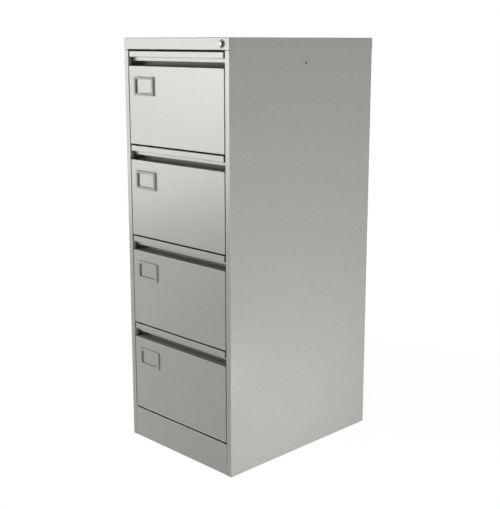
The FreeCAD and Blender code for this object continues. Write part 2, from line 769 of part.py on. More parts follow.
def lock_clip():
    """Horseshoe clip that slides over the barrel's flats behind the fascia."""
    left, right = CLIP_WIDTH
    plate = around_lock(left, right, SHEET, SHEET + CLIP_THICK, CLIP_HALF, CLIP_HALF)
    mouth = around_lock(CLIP_FLAT, CLIP_FLAT, 0, CUT, CLIP_HALF + SHEET, 0)
    seat = rod(LOCK_BARREL, Vector(LOCK_X, 0, LOCK_Z), Vector(LOCK_X, CUT, LOCK_Z))
    between_flats = around_lock(CLIP_FLAT, CLIP_FLAT, 0, CUT, FLAT_HALF, FLAT_HALF)
    return plate.cut(group([mouth, seat.common(between_flats)]))


def lock_plunger():
    """Sliding cylinder, bored for the key plug, with a slanted tail that lifts the lock bar."""
    outline = [
        (PLUG_BORE, -LOCK_PROUD),
        (PLUNGER_RADIUS - PLUNGER_EDGE, -LOCK_PROUD),
        (PLUNGER_RADIUS, -LOCK_PROUD + PLUNGER_EDGE),
        (PLUNGER_RADIUS, PLUNGER_END),
        (0, PLUNGER_END),
        (0, PLUG_DEPTH),
        (PLUG_BORE, PLUG_DEPTH),
    ]
    slant = [
        (WEDGE_Y - WEDGE_CUT, LOCK_Z + WEDGE_CUT),
        (WEDGE_Y + WEDGE_CUT, LOCK_Z - WEDGE_CUT),
        (WEDGE_Y + WEDGE_BACK, LOCK_Z - WEDGE_CUT),
        (WEDGE_Y + WEDGE_BACK, LOCK_Z + WEDGE_CUT),
    ]
    tool = polygon(slant, along_x, LOCK_X - WEDGE_CUT, LOCK_X + WEDGE_CUT)
    return turned(outline, "y", LOCK_PLACE).cut(tool)


def lock_key_plug():
    """Key plug with an upright slot, turning inside the plunger."""
    face = -LOCK_PROUD
    radius = PLUG_BORE - PLUG_PLAY
    rear = PLUG_DEPTH - SHEET
    half_w, half_h = SLOT_WIDTH / 2, SLOT_HEIGHT / 2
    slot = around_lock(half_w, half_w, face - CUT, face + SLOT_DEPTH, half_h, half_h)
    return turned([(0, face), (radius, face), (radius, rear), (0, rear)], "y", LOCK_PLACE).cut(slot)


def lock_bar():
    """Strip behind the right stile: a wedge head over the plunger and a finger at each drawer."""
    back = BAR_Y + BAR_THICK
    lowest = drawer_base(DRAWERS) + LOCK_TAB_Z - FINGER_GAP - FINGER_HEIGHT
    ramp_foot = BAR_TOP - RAMP_HEIGHT
    pieces = [
        block(BAR_EDGE, BAR_OUTER, BAR_Y, back, lowest - BAR_TAIL, BAR_TOP),
        block(LOCK_X - RAMP_HALF, BAR_OUTER, BAR_Y, back, BAR_TOP - HEAD_HEIGHT, BAR_TOP),
    ]
    slant = WEDGE_Y + LOCK_Z + WEDGE_PLAY
    nose = BAR_TOP - RAMP_NOSE
    ramp = [
        (slant - nose, nose),
        (slant - ramp_foot, ramp_foot),
        (back, ramp_foot),
        (back, BAR_TOP),
        (slant - nose, BAR_TOP),
    ]
    pieces.append(polygon(ramp, along_x, LOCK_X - RAMP_HALF, LOCK_X + RAMP_HALF))
    inward, upward = FINGER_BEVEL
    root = BAR_EDGE + SHEET
    for number in range(1, DRAWERS + 1):
        top = drawer_base(number) + LOCK_TAB_Z - FINGER_GAP
        foot = top - FINGER_HEIGHT
        finger = [(FINGER_TIP, foot + upward), (FINGER_TIP, top), (root, top), (root, foot),
                  (FINGER_TIP + inward, foot)]
        pieces.append(polygon(finger, along_y, BAR_Y, back))
    return fuse(pieces)


BAR_GUIDES = (430.0, 720.0, 1010.0)
GUIDE_PLAY = 0.6
GUIDE_FLANGE = 12.0
GUIDE_HALF = 10.0


def lock_bar_guides():
    """Straps that hold the lock bar to the side wall and let it slide up."""
    front = BAR_Y - GUIDE_PLAY
    rear = BAR_Y + BAR_THICK + GUIDE_PLAY
    inner = BAR_EDGE - GUIDE_PLAY
    outline = [(WALL, front - GUIDE_FLANGE), (WALL, front), (inner, front), (inner, rear), (WALL, rear)]
    return group([bent_sheet(outline, along_z, z - GUIDE_HALF, z + GUIDE_HALF) for z in BAR_GUIDES])


# ---- Build every piece ----

right_side = side_panel()
export("side_right", right_side)
export("side_left", mirrored(right_side))
export("back_panel", back_panel())
export("top_cap", top_cap())
export("plinth_panel", plinth_panel())
export("base_pan", base_pan())
export("levelling_glides", group([levelling_glide(x, y) for x, y in GLIDE_PLACES]))
export("cap_screws", group([cap_screw(x) for x in CAP_SCREW_X]))
export("runner_uprights", runner_uprights())
export("tie_rails", tie_rails())
export("lock_housing", lock_housing())
export("lock_clip", lock_clip())
export("lock_plunger", lock_plunger())
export("lock_key_plug", lock_key_plug())
export("lock_bar", lock_bar())
export("lock_bar_guides", lock_bar_guides())

runner_centres = [drawer_base(n) + RUNNER_HEIGHT for n in range(1, DRAWERS + 1)]
export("cabinet_runners", group([pair(cabinet_member(z)) for z in runner_centres]))
export("runner_buffers", group([pair(runner_buffer(z)) for z in runner_centres]))

for number in range(1, DRAWERS + 1):
    base = drawer_base(number)
    centre = base + RUNNER_HEIGHT
    name = "drawer_" + str(number)
    export(name + "_front", drawer_front(base))
    export(name + "_pull", drawer_pull(base))
    export(name + "_tray", drawer_tray(base))
    export(name + "_back", drawer_back(base))
    export(name + "_file_rails", pair(file_rail(base)))
    export(name + "_label_frame", label_frame(base))
    export(name + "_runners", pair(drawer_member(centre)))
    export(name + "_slides", pair(slide_member(centre)))
    export(name + "_outer_cages", ball_strips(OUTER_BALLS, centre))
    export(name + "_inner_cages", ball_strips(INNER_BALLS, centre))
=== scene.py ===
"""Studio model of a four-drawer steel filing cabinet.

The cabinet is folded from sheet steel and powder coated. Each sub-assembly below is a class
that keeps its sizes in millimetres, builds its meshes around the frame and dresses them.
"""

import json
import logging
import math
from dataclasses import dataclass, field
from enum import Enum
from typing import Iterable, Sequence

import bmesh
import bpy
from mathutils import Matrix, Vector

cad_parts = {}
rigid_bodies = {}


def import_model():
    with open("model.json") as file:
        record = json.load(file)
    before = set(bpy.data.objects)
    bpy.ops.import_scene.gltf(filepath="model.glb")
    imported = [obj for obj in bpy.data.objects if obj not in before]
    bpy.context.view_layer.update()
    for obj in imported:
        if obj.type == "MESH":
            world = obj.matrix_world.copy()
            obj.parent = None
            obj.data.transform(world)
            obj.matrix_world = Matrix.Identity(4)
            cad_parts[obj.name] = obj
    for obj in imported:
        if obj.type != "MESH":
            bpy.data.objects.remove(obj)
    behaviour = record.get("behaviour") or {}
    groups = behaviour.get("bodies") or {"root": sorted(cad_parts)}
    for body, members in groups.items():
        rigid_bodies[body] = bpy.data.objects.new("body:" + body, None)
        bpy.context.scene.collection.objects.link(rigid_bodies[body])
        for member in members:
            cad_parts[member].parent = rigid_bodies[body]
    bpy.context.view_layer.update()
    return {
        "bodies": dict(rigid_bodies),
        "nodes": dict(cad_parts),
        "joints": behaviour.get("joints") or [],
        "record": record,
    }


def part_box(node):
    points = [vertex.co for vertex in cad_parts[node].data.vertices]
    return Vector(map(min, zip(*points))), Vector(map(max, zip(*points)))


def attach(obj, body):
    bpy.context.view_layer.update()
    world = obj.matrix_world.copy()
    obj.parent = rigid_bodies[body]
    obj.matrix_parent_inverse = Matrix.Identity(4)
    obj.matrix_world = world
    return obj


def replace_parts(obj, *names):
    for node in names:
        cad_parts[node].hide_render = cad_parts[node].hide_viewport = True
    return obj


LOG = logging.getLogger("cabinet")

MM = 0.001
ARC_STEP = math.radians(15)
SMOOTH_ANGLE = math.radians(32)
WELD = 0.01 * MM
AXIS = 0.001  # radius at which a turned outline meets its axis
ROUND = 56  # segments around a turned part
COARSE = 24  # segments around a rivet, a runner's hole or a nut
CORNER_STEPS = 6  # segments in a quarter turn
BALL_FACES = (14, 9)  # segments and rings of a bearing ball
EASE = 0.3  # where the middle of a softened edge lies
LEAST_CORNER = 0.05  # smallest corner radius of a loop
LEAST_BEND = 0.2  # smallest inside radius of a pan's bend
BORE_REACH = 3.0  # how far a hole's cutter reaches either side of its sheet's face
OVER = 1.0  # how far other cutters reach past the metal
NOISE_BAND = (0.3, 0.7)  # the part of a noise pattern's range that is spread out
DRAWERS = range(1, 5)

Flat = tuple[float, float]
Socket = bpy.types.NodeSocket


class Push(Enum):
    """The way in which a drawn profile is pushed through space."""

    SIDEWAYS = "x"
    BACKWARDS = "y"
    UPWARDS = "z"

    def point(self, a: float, b: float, along: float) -> Vector:
        """Place a profile point. All three values are millimetres.

        Args:
            a: First coordinate in the profile's plane.
            b: Second coordinate in the profile's plane.
            along: Distance along the push.

        Returns:
            The point in metres.
        """
        if self is Push.SIDEWAYS:
            return Vector((along, a, b)) * MM
        if self is Push.BACKWARDS:
            return Vector((a, along, b)) * MM
        return Vector((a, b, along)) * MM

    def ring(self, loop: Iterable[Flat], along: float) -> list[Vector]:
        """Place all points of a loop at one distance along the push."""
        return [self.point(a, b, along) for a, b in loop]


class Hand(Enum):
    """Left or right of the cabinet, seen from its front."""

    LEFT = -1
    RIGHT = 1


class Slot(Enum):
    """The record's material slots."""

    PAINT = "powder_coat"
    ZINC = "zinc_plate"
    CHROME = "chrome"
    LABEL = "label_plastic"
    NYLON = "nylon"
    RUBBER = "rubber"


# ---- Finishes ----


class Nodes:
    """The node tree of a material or a world, filled from empty."""

    def __init__(self, owner: bpy.types.Material | bpy.types.World) -> None:
        """Empty the tree.

        Args:
            owner: The material or world.
        """
        owner.use_nodes = True
        self.tree = owner.node_tree
        self.tree.nodes.clear()

    def add(self, kind: str, values: dict[str, object] | None = None) -> bpy.types.ShaderNode:
        """Add a node.

        Args:
            kind: The node's type, without the prefix that all of them share.
            values: Values for its input sockets.

        Returns:
            The node.
        """
        node = self.tree.nodes.new("ShaderNode" + kind)
        for name, value in (values or {}).items():
            node.inputs[name].default_value = value
        return node

    def join(self, source: Socket, target: Socket) -> None:
        """Link two sockets."""
        self.tree.links.new(source, target)

    def spread(self, value: Socket, source: Flat, result: Flat) -> Socket:
        """Map a value from one range to another.

        Args:
            value: The value.
            source: The range that it comes in.
            result: The range that it goes to.

        Returns:
            The mapped value.
        """
        ends = dict(zip(("From Min", "From Max", "To Min", "To Max"), (*source, *result)))
        node = self.add("MapRange", ends)
        self.join(value, node.inputs["Value"])
        return node.outputs["Result"]

    def combine(self, operation: str, first: Socket, second: Socket) -> Socket:
        """Combine two values that vary.

        Args:
            operation: What the maths node does.
            first: The first value.
            second: The second value.

        Returns:
            The result.
        """
        node = self.add("Math")
        node.operation = operation
        self.join(first, node.inputs[0])
        self.join(second, node.inputs[1])
        return node.outputs["Value"]

    def seen_rays(self) -> Socket:
        """Find the rays that see the surround: straight, mirrored or through glass.

        Returns:
            1 for such a ray and 0 for the light that falls on things.
        """
        path = self.add("LightPath")
        value = path.outputs["Is Camera Ray"]
        for other in ("Is Glossy Ray", "Is Transmission Ray"):
            value = self.combine("MAXIMUM", value, path.outputs[other])
        return value


class Coat(Nodes):
    """A new material: a principled shader with patterns in object space and a relief."""

    def __init__(self, name: str, metallic: float = 0.0) -> None:
        """Make the material with its shader and coordinates.

        Args:
            name: The material's name.
            metallic: 1 for bare or plated metal.
        """
        self.material = bpy.data.materials.new(name)
        super().__init__(self.material)
        self.shader = self.add("BsdfPrincipled", {"Metallic": metallic})
        self.place = self.add("TexCoord").outputs["Object"]
        self.join(self.shader.outputs["BSDF"], self.add("OutputMaterial").inputs["Surface"])

    def noise(self, pattern: "Pattern") -> Socket:
        """Add a noise pattern in object space.

        Args:
            pattern: The pattern.

        Returns:
            Its value, around 0.5.
        """
        mapping = self.add("Mapping", {"Scale": pattern.stretch})
        texture = self.add("TexNoise", {"Scale": pattern.scale, "Detail": pattern.detail})
        self.join(self.place, mapping.inputs["Vector"])
        self.join(mapping.outputs["Vector"], texture.inputs["Vector"])
        return texture.outputs["Fac"]

    def tint(self, pattern: Socket, low: Sequence[float], high: Sequence[float]) -> None:
        """Mix two colours by a pattern.

        Args:
            pattern: The pattern.
            low: Linear colour where it is low.
            high: Linear colour where it is high.
        """
        node = self.add("Mix")
        node.data_type = "RGBA"
        node.inputs["A"].default_value = (*low, 1.0)
        node.inputs["B"].default_value = (*high, 1.0)
        self.join(self.spread(pattern, NOISE_BAND, (0.0, 1.0)), node.inputs["Factor"])
        self.join(node.outputs["Result"], self.shader.inputs["Base Color"])

    def polish(self, pattern: Socket, low: float, high: float) -> None:
        """Vary the roughness from low to high by a pattern."""
        self.join(self.spread(pattern, NOISE_BAND, (low, high)), self.shader.inputs["Roughness"])

    def relief(self, layers: Iterable[tuple[Socket, float]]) -> bpy.types.Material:
        """Stack bump layers into the shader's normal.

        Args:
            layers: Each layer's height pattern and its depth in millimetres.

        Returns:
            The finished material.
        """
        below = None
        for height, depth in layers:
            bump = self.add("Bump", {"Strength": 1.0, "Distance": depth * MM})
            self.join(height, bump.inputs["Height"])
            if below is not None:
                self.join(below, bump.inputs["Normal"])
            below = bump.outputs["Normal"]
        self.join(below, self.shader.inputs["Normal"])
        return self.material


def linear(grey: int, warmth: int = 0) -> tuple[float, float, float]:
    """Turn a chip's displayed green, and how far its blue lies below it, into linear light."""
    channels = (grey + warmth // 4, grey, grey - warmth)
    return tuple(((value / 255 + 0.055) / 1.055) ** 2.4 for value in channels)


@dataclass(frozen=True)
class Pattern:
    """A noise pattern in object space.

    The scale is in blobs per metre and the detail counts the finer layers. The depth is the
    pattern's relief in millimetres. The stretch is extra scale along each axis, for drawn or
    rolled metal.
    """

    scale: float
    detail: float = 2.0
    depth: float = 0.0
    stretch: Sequence[float] = (1.0, 1.0, 1.0)


@dataclass(frozen=True)
class Finish:
    """A surface with a mottled colour, a gloss that follows its grain and a fine relief."""

    name: str
    grey: int
    roughness: float
    warmths: tuple[int, int] = (0, 0)
    shades: tuple[int, int] = (-2, 2)
    gloss: Flat = (-0.05, 0.05)
    metallic: float = 0.0
    cloud: Pattern = Pattern(120.0, 3.0)
    grain: Pattern = Pattern(1800.0, depth=0.006)
    peel: Pattern | None = None

    def material(self) -> bpy.types.Material:
        """Build the material.

        Returns:
            The material, with its relief in the order grain, cloud, peel.
        """
        coat = Coat(self.name, self.metallic)
        cloud, grain = coat.noise(self.cloud), coat.noise(self.grain)
        pairs = zip(self.shades, self.warmths)
        coat.tint(cloud, *(linear(self.grey + shade, warmth) for shade, warmth in pairs))
        coat.polish(grain, *(self.roughness + step for step in self.gloss))
        layers = [(grain, self.grain.depth), (cloud, self.cloud.depth)]
        if self.peel:
            layers.append((coat.noise(self.peel), self.peel.depth))
        return coat.relief(layer for layer in layers if layer[1] > 0)


@dataclass(frozen=True)
class PowderCoat(Finish):
    """Satin powder coat: a warm light grey with orange peel and a faint mottle."""

    name: str = "satin_powder_coat"
    grey: int = 161
    roughness: float = 0.28
    warmths: tuple[int, int] = (6, 6)
    gloss: Flat = (-0.03, 0.03)
    cloud: Pattern = Pattern(260.0, 3.0)
    grain: Pattern = Pattern(420.0, depth=0.02)
    peel: Pattern | None = Pattern(1500.0, 1.0, 0.004)


@dataclass(frozen=True)
class ZincPlate(Finish):
    """Cold-rolled steel, zinc plated: fine rolling streaks under soft clouds."""

    name: str = "bright_zinc_plate"
    grey: int = 196
    roughness: float = 0.34
    warmths: tuple[int, int] = (-3, -5)
    shades: tuple[int, int] = (-12, 8)
    gloss: Flat = (-0.07, 0.08)
    metallic: float = 1.0
    cloud: Pattern = Pattern(45.0, 4.0, 0.01)
    grain: Pattern = Pattern(900.0, 2.0, 0.002, (1.0, 0.03, 1.0))


@dataclass(frozen=True)
class Chrome(Finish):
    """Satin plating over a die casting, with hairline brushing marks."""

    name: str = "satin_chrome"
    grey: int = 132
    roughness: float = 0.4
    shades: tuple[int, int] = (-6, 0)
    gloss: Flat = (-0.04, 0.05)
    metallic: float = 1.0
    cloud: Pattern = Pattern(300.0, 3.0)
    grain: Pattern = Pattern(5000.0, 1.0, 0.0004, (1.0, 1.0, 0.08))


@dataclass(frozen=True)
class Moulding(Finish):
    """Moulded plastic or rubber with a fine spark-eroded grain."""


class Finishes:
    """One material for each slot, a darker nickel for the lock's bezel and two darker copies that
    paint shade, made once for all pieces.
    """

    def __init__(self) -> None:
        """Build every finish."""
        self.materials: dict[Slot, bpy.types.Material] = {
            Slot.PAINT: PowderCoat().material(),
            Slot.ZINC: ZincPlate().material(),
            Slot.CHROME: Chrome().material(),
            Slot.LABEL: Moulding("label_moulding", 160, 0.62, (5, 5)).material(),
            Slot.NYLON: Moulding("natural_nylon", 214, 0.5, (10, 10)).material(),
            Slot.RUBBER: Moulding("black_rubber", 34, 0.75, (1, 1)).material(),
        }
        # A darker copy of the powder coat for the finger hollows: painted shade that stands in for
        # the shadow inside them.
        self.recess = PowderCoat("recess_painted_shade", grey=130, roughness=0.75).material()
        self.bezel = Chrome("satin_nickel", grey=106, roughness=0.45).material()
        # A dark copy of the zinc plate for the tie rails, which show through the gaps between the
        # drawers: painted shade that darkens those gaps.
        self.gap_shade = ZincPlate("gap_shade_zinc_plate", grey=62, roughness=0.6).material()

    def paint_frame(self, frame: dict) -> None:
        """Give each CAD node the finish of its slot.
        """
        slots = {row["node"]: Slot(row["material_slot"]) for row in frame["record"]["subparts"]}
        for name, node in frame["nodes"].items():
            node.data.materials.clear()
            node.data.materials.append(self.materials[slots[name]])


# ---- Shapes ----


@dataclass(frozen=True)
class Fold:
    """A bent strip of sheet in its profile's plane, in millimetres.

    The points guide one face of the strip and the metal lies on their left. Each inner point
    has an inside bend radius.
    """

    points: Sequence[Flat]
    radii: Sequence[float]
    gauge: float = 1.0

    def faces(self) -> tuple[list[Flat], list[Flat]]:
        """Work out both faces of the strip.

        Returns:
            The guiding face and the other face, point by point.
        """
        knots = [Vector(p) for p in self.points]
        near = [knots[0]]
        far = [knots[0] + self._left(knots[1] - knots[0]) * self.gauge]
        for before, here, after, radius in zip(knots, knots[1:], knots[2:], self.radii):
            coming = (here - before).normalized()
            going = (after - here).normalized()
            angle = math.atan2(coming.x * going.y - coming.y * going.x, coming.dot(going))
            side = 1.0 if angle > 0 else -1.0
            guide = radius + self.gauge if side > 0 else radius
            start = here - coming * (guide * math.tan(abs(angle) / 2))
            centre = start + self._left(coming) * (side * guide)
            spoke = self._left(coming) * -side
            steps = max(2, math.ceil(abs(angle) / ARC_STEP))
            for k in range(steps + 1):
                turned = Matrix.Rotation(angle * k / steps, 2) @ spoke
                near.append(centre + turned * guide)
                far.append(centre + turned * (guide - side * self.gauge))
        near.append(knots[-1])
        far.append(knots[-1] + self._left(knots[-1] - knots[-2]) * self.gauge)
        return [tuple(p) for p in near], [tuple(p) for p in far]

    @staticmethod
    def _left(direction: Vector) -> Vector:
        """Unit vector to the left of a direction."""
        return Vector((-direction.y, direction.x)).normalized()


def softened(points: Sequence[Flat], radii: Sequence[float]) -> list[Flat]:
    """Round the inner corners of an open outline, each by its own radius."""
    return Fold(points, radii, 0.0).faces()[0]


def rounded_loop(low: Flat, high: Flat, radii: Sequence[float], inset: float = 0.0) -> list[Flat]:
    """A rectangle with round corners, anticlockwise from its lower left corner.

    Args:
        low: Its lower left corner.
        high: Its upper right corner.
        radii: Corner radii: lower left, lower right, upper right, upper left.
        inset: How far the loop lies inside the rectangle.

    Returns:
        The loop's points, the same number for any inset.
    """
    x0, y0 = (value + inset for value in low)
    x1, y1 = (value - inset for value in high)
    loop = []
    for quarter, (x, y, radius) in enumerate(zip((x0, x1, x1, x0), (y0, y0, y1, y1), radii)):
        reach = max(radius - inset, LEAST_CORNER)
        cx = x + reach if quarter in (0, 3) else x - reach
        cy = y + reach if quarter in (0, 1) else y - reach
        for k in range(CORNER_STEPS + 1):
            angle = math.pi + math.pi / 2 * (quarter + k / CORNER_STEPS)
            loop.append((cx + reach * math.cos(angle), cy + reach * math.sin(angle)))
    return loop


class Shape:
    """A mesh under construction, in metres, in the cabinet's own frame."""

    def __init__(self) -> None:
        """Start with nothing."""
        self.mesh = bmesh.new()

    def skin(
        self, rows: Sequence[Sequence[Vector]], closed: bool = False
    ) -> list[list[bmesh.types.BMVert]]:
        """Stretch quads over rings of points.

        Args:
            rows: Rings with the same number of points.
            closed: Whether the last ring joins the first.

        Returns:
            The vertices, ring by ring.
        """
        made = [[self.mesh.verts.new(p) for p in row] for row in rows]
        for this, following in zip(made, made[1:] + made[:1] if closed else made[1:]):
            for i in range(len(this)):
                j = (i + 1) % len(this)
                self.mesh.faces.new((this[i], this[j], following[j], following[i]))
        return made

    def sheet(self, fold: Fold, push: Push, start: float, end: float) -> "Shape":
        """Push a bent strip through space and close its ends.

        Args:
            fold: The strip's profile.
            push: The way it is pushed.
            start: Where the push starts, in millimetres.
            end: Where it ends.

        Returns:
            The shape itself.
        """
        near, far = fold.faces()
        loop = near + far[::-1]
        for row in self.skin([push.ring(loop, at) for at in (start, end)]):
            for i in range(len(near) - 1):
                self.mesh.faces.new((row[i], row[i + 1], row[-i - 2], row[-i - 1]))
        return self

    def block(self, low: Sequence[float], high: Sequence[float]) -> "Shape":
        """Add a plain cuboid, used for cutting and for flat stock.

        Args:
            low: Its lowest corner, in millimetres.
            high: Its highest corner.

        Returns:
            The shape itself.
        """
        size = Vector(high) - Vector(low)
        middle = (Vector(high) + Vector(low)) / 2
        for vert in bmesh.ops.create_cube(self.mesh, size=1.0)["verts"]:
            vert.co = (Vector(c * s for c, s in zip(vert.co, size)) + middle) * MM
        return self

    def plate(self, loop: Sequence[Flat], push: Push, start: float, end: float) -> "Shape":
        """Add flat stock with any outline.

        Args:
            loop: The outline, in millimetres.
            push: The way across its thickness.
            start: One face.
            end: The other face.

        Returns:
            The shape itself.
        """
        for row in self.skin([push.ring(loop, at) for at in (start, end)]):
            self.mesh.faces.new(row)
        return self

    def turn(
        self,
        outline: Sequence[Flat],
        centre: Sequence[float],
        axis: Push,
        radii: Sequence[float] = (),
        count: int = ROUND,
        hollow: bool = False,
    ) -> "Shape":
        """Spin an outline about an axis.

        Args:
            outline: Radius and distance along the axis, in millimetres. The ends of a solid's
                outline are carried on to the axis.
            centre: The point on the axis that the distances start from.
            axis: The axis' direction.
            radii: A radius for each of the outline's inner corners, if they are rounded.
            count: Segments around.
            hollow: Whether the outline is a loop beside the axis.

        Returns:
            The shape itself.
        """
        if not hollow:
            outline = [(AXIS, outline[0][1]), *outline, (AXIS, outline[-1][1])]
        if radii:
            outline = softened(outline, radii)
        middle = Vector(centre) * MM
        angles = [2 * math.pi * k / count for k in range(count)]
        rows = []
        for radius, along in outline:
            loop = [(radius * math.cos(angle), radius * math.sin(angle)) for angle in angles]
            rows.append([middle + point for point in axis.ring(loop, along)])
        self.skin(rows, closed=hollow)
        return self

    def bore(self, radius: float, place: Sequence[float], axis: Push, count: int = ROUND) -> None:
        """Add a short cylinder that cuts a hole through a sheet, its middle on the sheet's face."""
        self.turn([(radius, -BORE_REACH), (radius, BORE_REACH)], place, axis, count=count)

    def bar(
        self,
        low: Flat,
        high: Flat,
        radius: float,
        push: Push,
        start: float,
        end: float,
        edge: float,
    ) -> "Shape":
        """Add a solid bar or plate with rounded corners and softened end edges.

        Args:
            low: Lower left corner of its section, in millimetres.
            high: Upper right corner of its section.
            radius: The section's corner radius.
            push: The way along the bar.
            start: One end.
            end: The other end.
            edge: Size of the softened edges at both ends.

        Returns:
            The shape itself.
        """
        part = EASE * edge
        stations = [(edge, start), (part, start + part), (0.0, start + edge)]
        stations += [(0.0, end - edge), (part, end - part), (edge, end)]
        corners = (radius,) * 4
        made = self.skin(
            [push.ring(rounded_loop(low, high, corners, inset), at) for inset, at in stations]
        )
        self.mesh.faces.new(made[0])
        self.mesh.faces.new(made[-1])
        return self

    def pan(
        self,
        low: Flat,
        high: Flat,
        radii: Sequence[float],
        push: Push,
        face: float,
        rim: float,
        bend: float,
        gauge: float = 1.0,
    ) -> "Shape":
        """Fold a pan: a face with a rounded edge and walls behind it.

        Args:
            low: Lower left corner of the face, in millimetres.
            high: Its upper right corner.
            radii: Its corner radii: lower left, lower right, upper right, upper left.
            push: The way across the face.
            face: Where the face lies.
            rim: Where the walls end.
            bend: Radius of the bend between the face and its walls.
            gauge: Thickness of the sheet.

        Returns:
            The shape itself.
        """
        skins = []
        for radius, inset in ((bend, 0.0), (max(bend - gauge, LEAST_BEND), gauge)):
            turn = inset + radius
            stations = [(inset, abs(rim - face))]
            for k in range(CORNER_STEPS + 1):
                angle = math.pi / 2 * k / CORNER_STEPS
                stations.append((turn - radius * math.cos(angle), turn - radius * math.sin(angle)))
            rows = []
            for step, depth in stations:
                at = face + math.copysign(depth, rim - face)
                rows.append(push.ring(rounded_loop(low, high, radii, step), at))
            made = self.skin(rows)
            self.mesh.faces.new(made[-1])
            skins.append(made[0])
        outer, inner = skins
        for i in range(len(outer)):
            j = (i + 1) % len(outer)
            self.mesh.faces.new((outer[i], outer[j], inner[j], inner[i]))
        return self

    def nut(
        self, place: Sequence[float], radius: float, bore: float, height: float, chamfer: Flat
    ) -> None:
        """Add a hexagonal weld nut.

        Args:
            place: Middle of its foot, in millimetres.
            radius: Distance to its corners.
            bore: Radius of its thread.
            height: Its height.
            chamfer: How far its upper edge is cut back, inwards and down.
        """
        sixth = math.pi / 3
        outside = [(radius, 0.0), (radius, height - chamfer[1]), (radius - chamfer[0], height)]
        rows = []
        for grown, up in [(bore, 0.0), *outside, (bore, height)]:
            loop = []
            for k in range(COARSE):
                angle = 2 * math.pi * k / COARSE
                bevel = math.cos(sixth / 2) / math.cos((angle + sixth / 2) % sixth - sixth / 2)
                reach = min(grown, radius * bevel)
                loop.append((reach * math.cos(angle), reach * math.sin(angle)))
            rows.append([Vector(place) * MM + point for point in Push.UPWARDS.ring(loop, up)])
        self.skin(rows, closed=True)

    def ball(self, centre: Sequence[float], radius: float) -> None:
        """Add a bearing ball.

        Args:
            centre: Its centre, in millimetres.
            radius: Its radius.
        """
        place = Matrix.Translation(Vector(centre) * MM)
        around, rings = BALL_FACES
        bmesh.ops.create_uvsphere(
            self.mesh, u_segments=around, v_segments=rings, radius=radius * MM, matrix=place
        )

    def mirror(self) -> "Shape":
        """Add the same shape on the other side of the cabinet.

        Returns:
            The shape itself.
        """
        everything = [*self.mesh.verts, *self.mesh.edges, *self.mesh.faces]
        for item in bmesh.ops.duplicate(self.mesh, geom=everything)["geom"]:
            if isinstance(item, bmesh.types.BMVert):
                item.co.x = -item.co.x
        return self

    def flip(self) -> None:
        """Swap left and right."""
        for vert in self.mesh.verts:
            vert.co.x = -vert.co.x

    def carve(self, cutter: "Shape") -> "Shape":
        """Cut another shape out of this one.

        Args:
            cutter: The shape that is taken away.

        Returns:
            What is left, as a new shape.
        """
        blank, tool = self.object("blank"), cutter.object("cutter")
        cut = blank.modifiers.new("cut", "BOOLEAN")
        cut.operation = "DIFFERENCE"
        cut.solver = "EXACT"
        cut.use_self = True
        cut.object = tool
        graph = bpy.context.evaluated_depsgraph_get()
        left = bpy.data.meshes.new_from_object(blank.evaluated_get(graph))
        shape = Shape()
        shape.mesh.from_mesh(left)
        spare = (blank.data, tool.data, left)
        for piece in (blank, tool):
            bpy.data.objects.remove(piece)
        for data in spare:
            bpy.data.meshes.remove(data)
        return shape

    def object(self, name: str) -> bpy.types.Object:
        """Turn the shape into an object in the scene.

        Args:
            name: The object's name.

        Returns:
            The object, welded and with its faces turned outwards.
        """
        bmesh.ops.remove_doubles(self.mesh, verts=self.mesh.verts, dist=WELD)
        loose = [edge for edge in self.mesh.edges if not edge.link_faces]
        bmesh.ops.delete(self.mesh, geom=loose, context="EDGES")
        bmesh.ops.recalc_face_normals(self.mesh, faces=self.mesh.faces)
        data = bpy.data.meshes.new(name)
        self.mesh.to_mesh(data)
        self.mesh.free()
        made = bpy.data.objects.new(name, data)
        bpy.context.scene.collection.objects.link(made)
        return made


# ---- The cabinet ----


@dataclass(frozen=True)
class Datum:
    """Faces and centres that the sub-assemblies share, in millimetres.

    Pieces are drawn with x to the right, z up from the floor and y backwards from the front
    plane. Dressing a piece moves it to the frame's own y.
    """

    front: float
    half: float
    rear: float
    cap_rear: float
    cap_foot: float
    height: float
    gauge: float = 1.0
    runner_web: float = 219.0
    runner_gauge: float = 1.2
    runner_rise: float = 95.0
    tray_half: float = 206.0
    lock: Flat = (205.5, 1282.5)

    @classmethod
    def read(cls) -> "Datum":
        """Read the faces from the frame.

        Returns:
            The datum.
        """
        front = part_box("drawer_1_front")[0].y
        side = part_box("side_right")[1]
        low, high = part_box("top_cap")
        faces = (front, side.x, side.y - front, high.y - front, low.z, high.z)
        return cls(*(face / MM for face in faces))

    @staticmethod
    def drawer_foot(number: int) -> float:
        """Height of a drawer's lower edge, counting drawers from the top."""
        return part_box(f"drawer_{number}_front")[0].z / MM


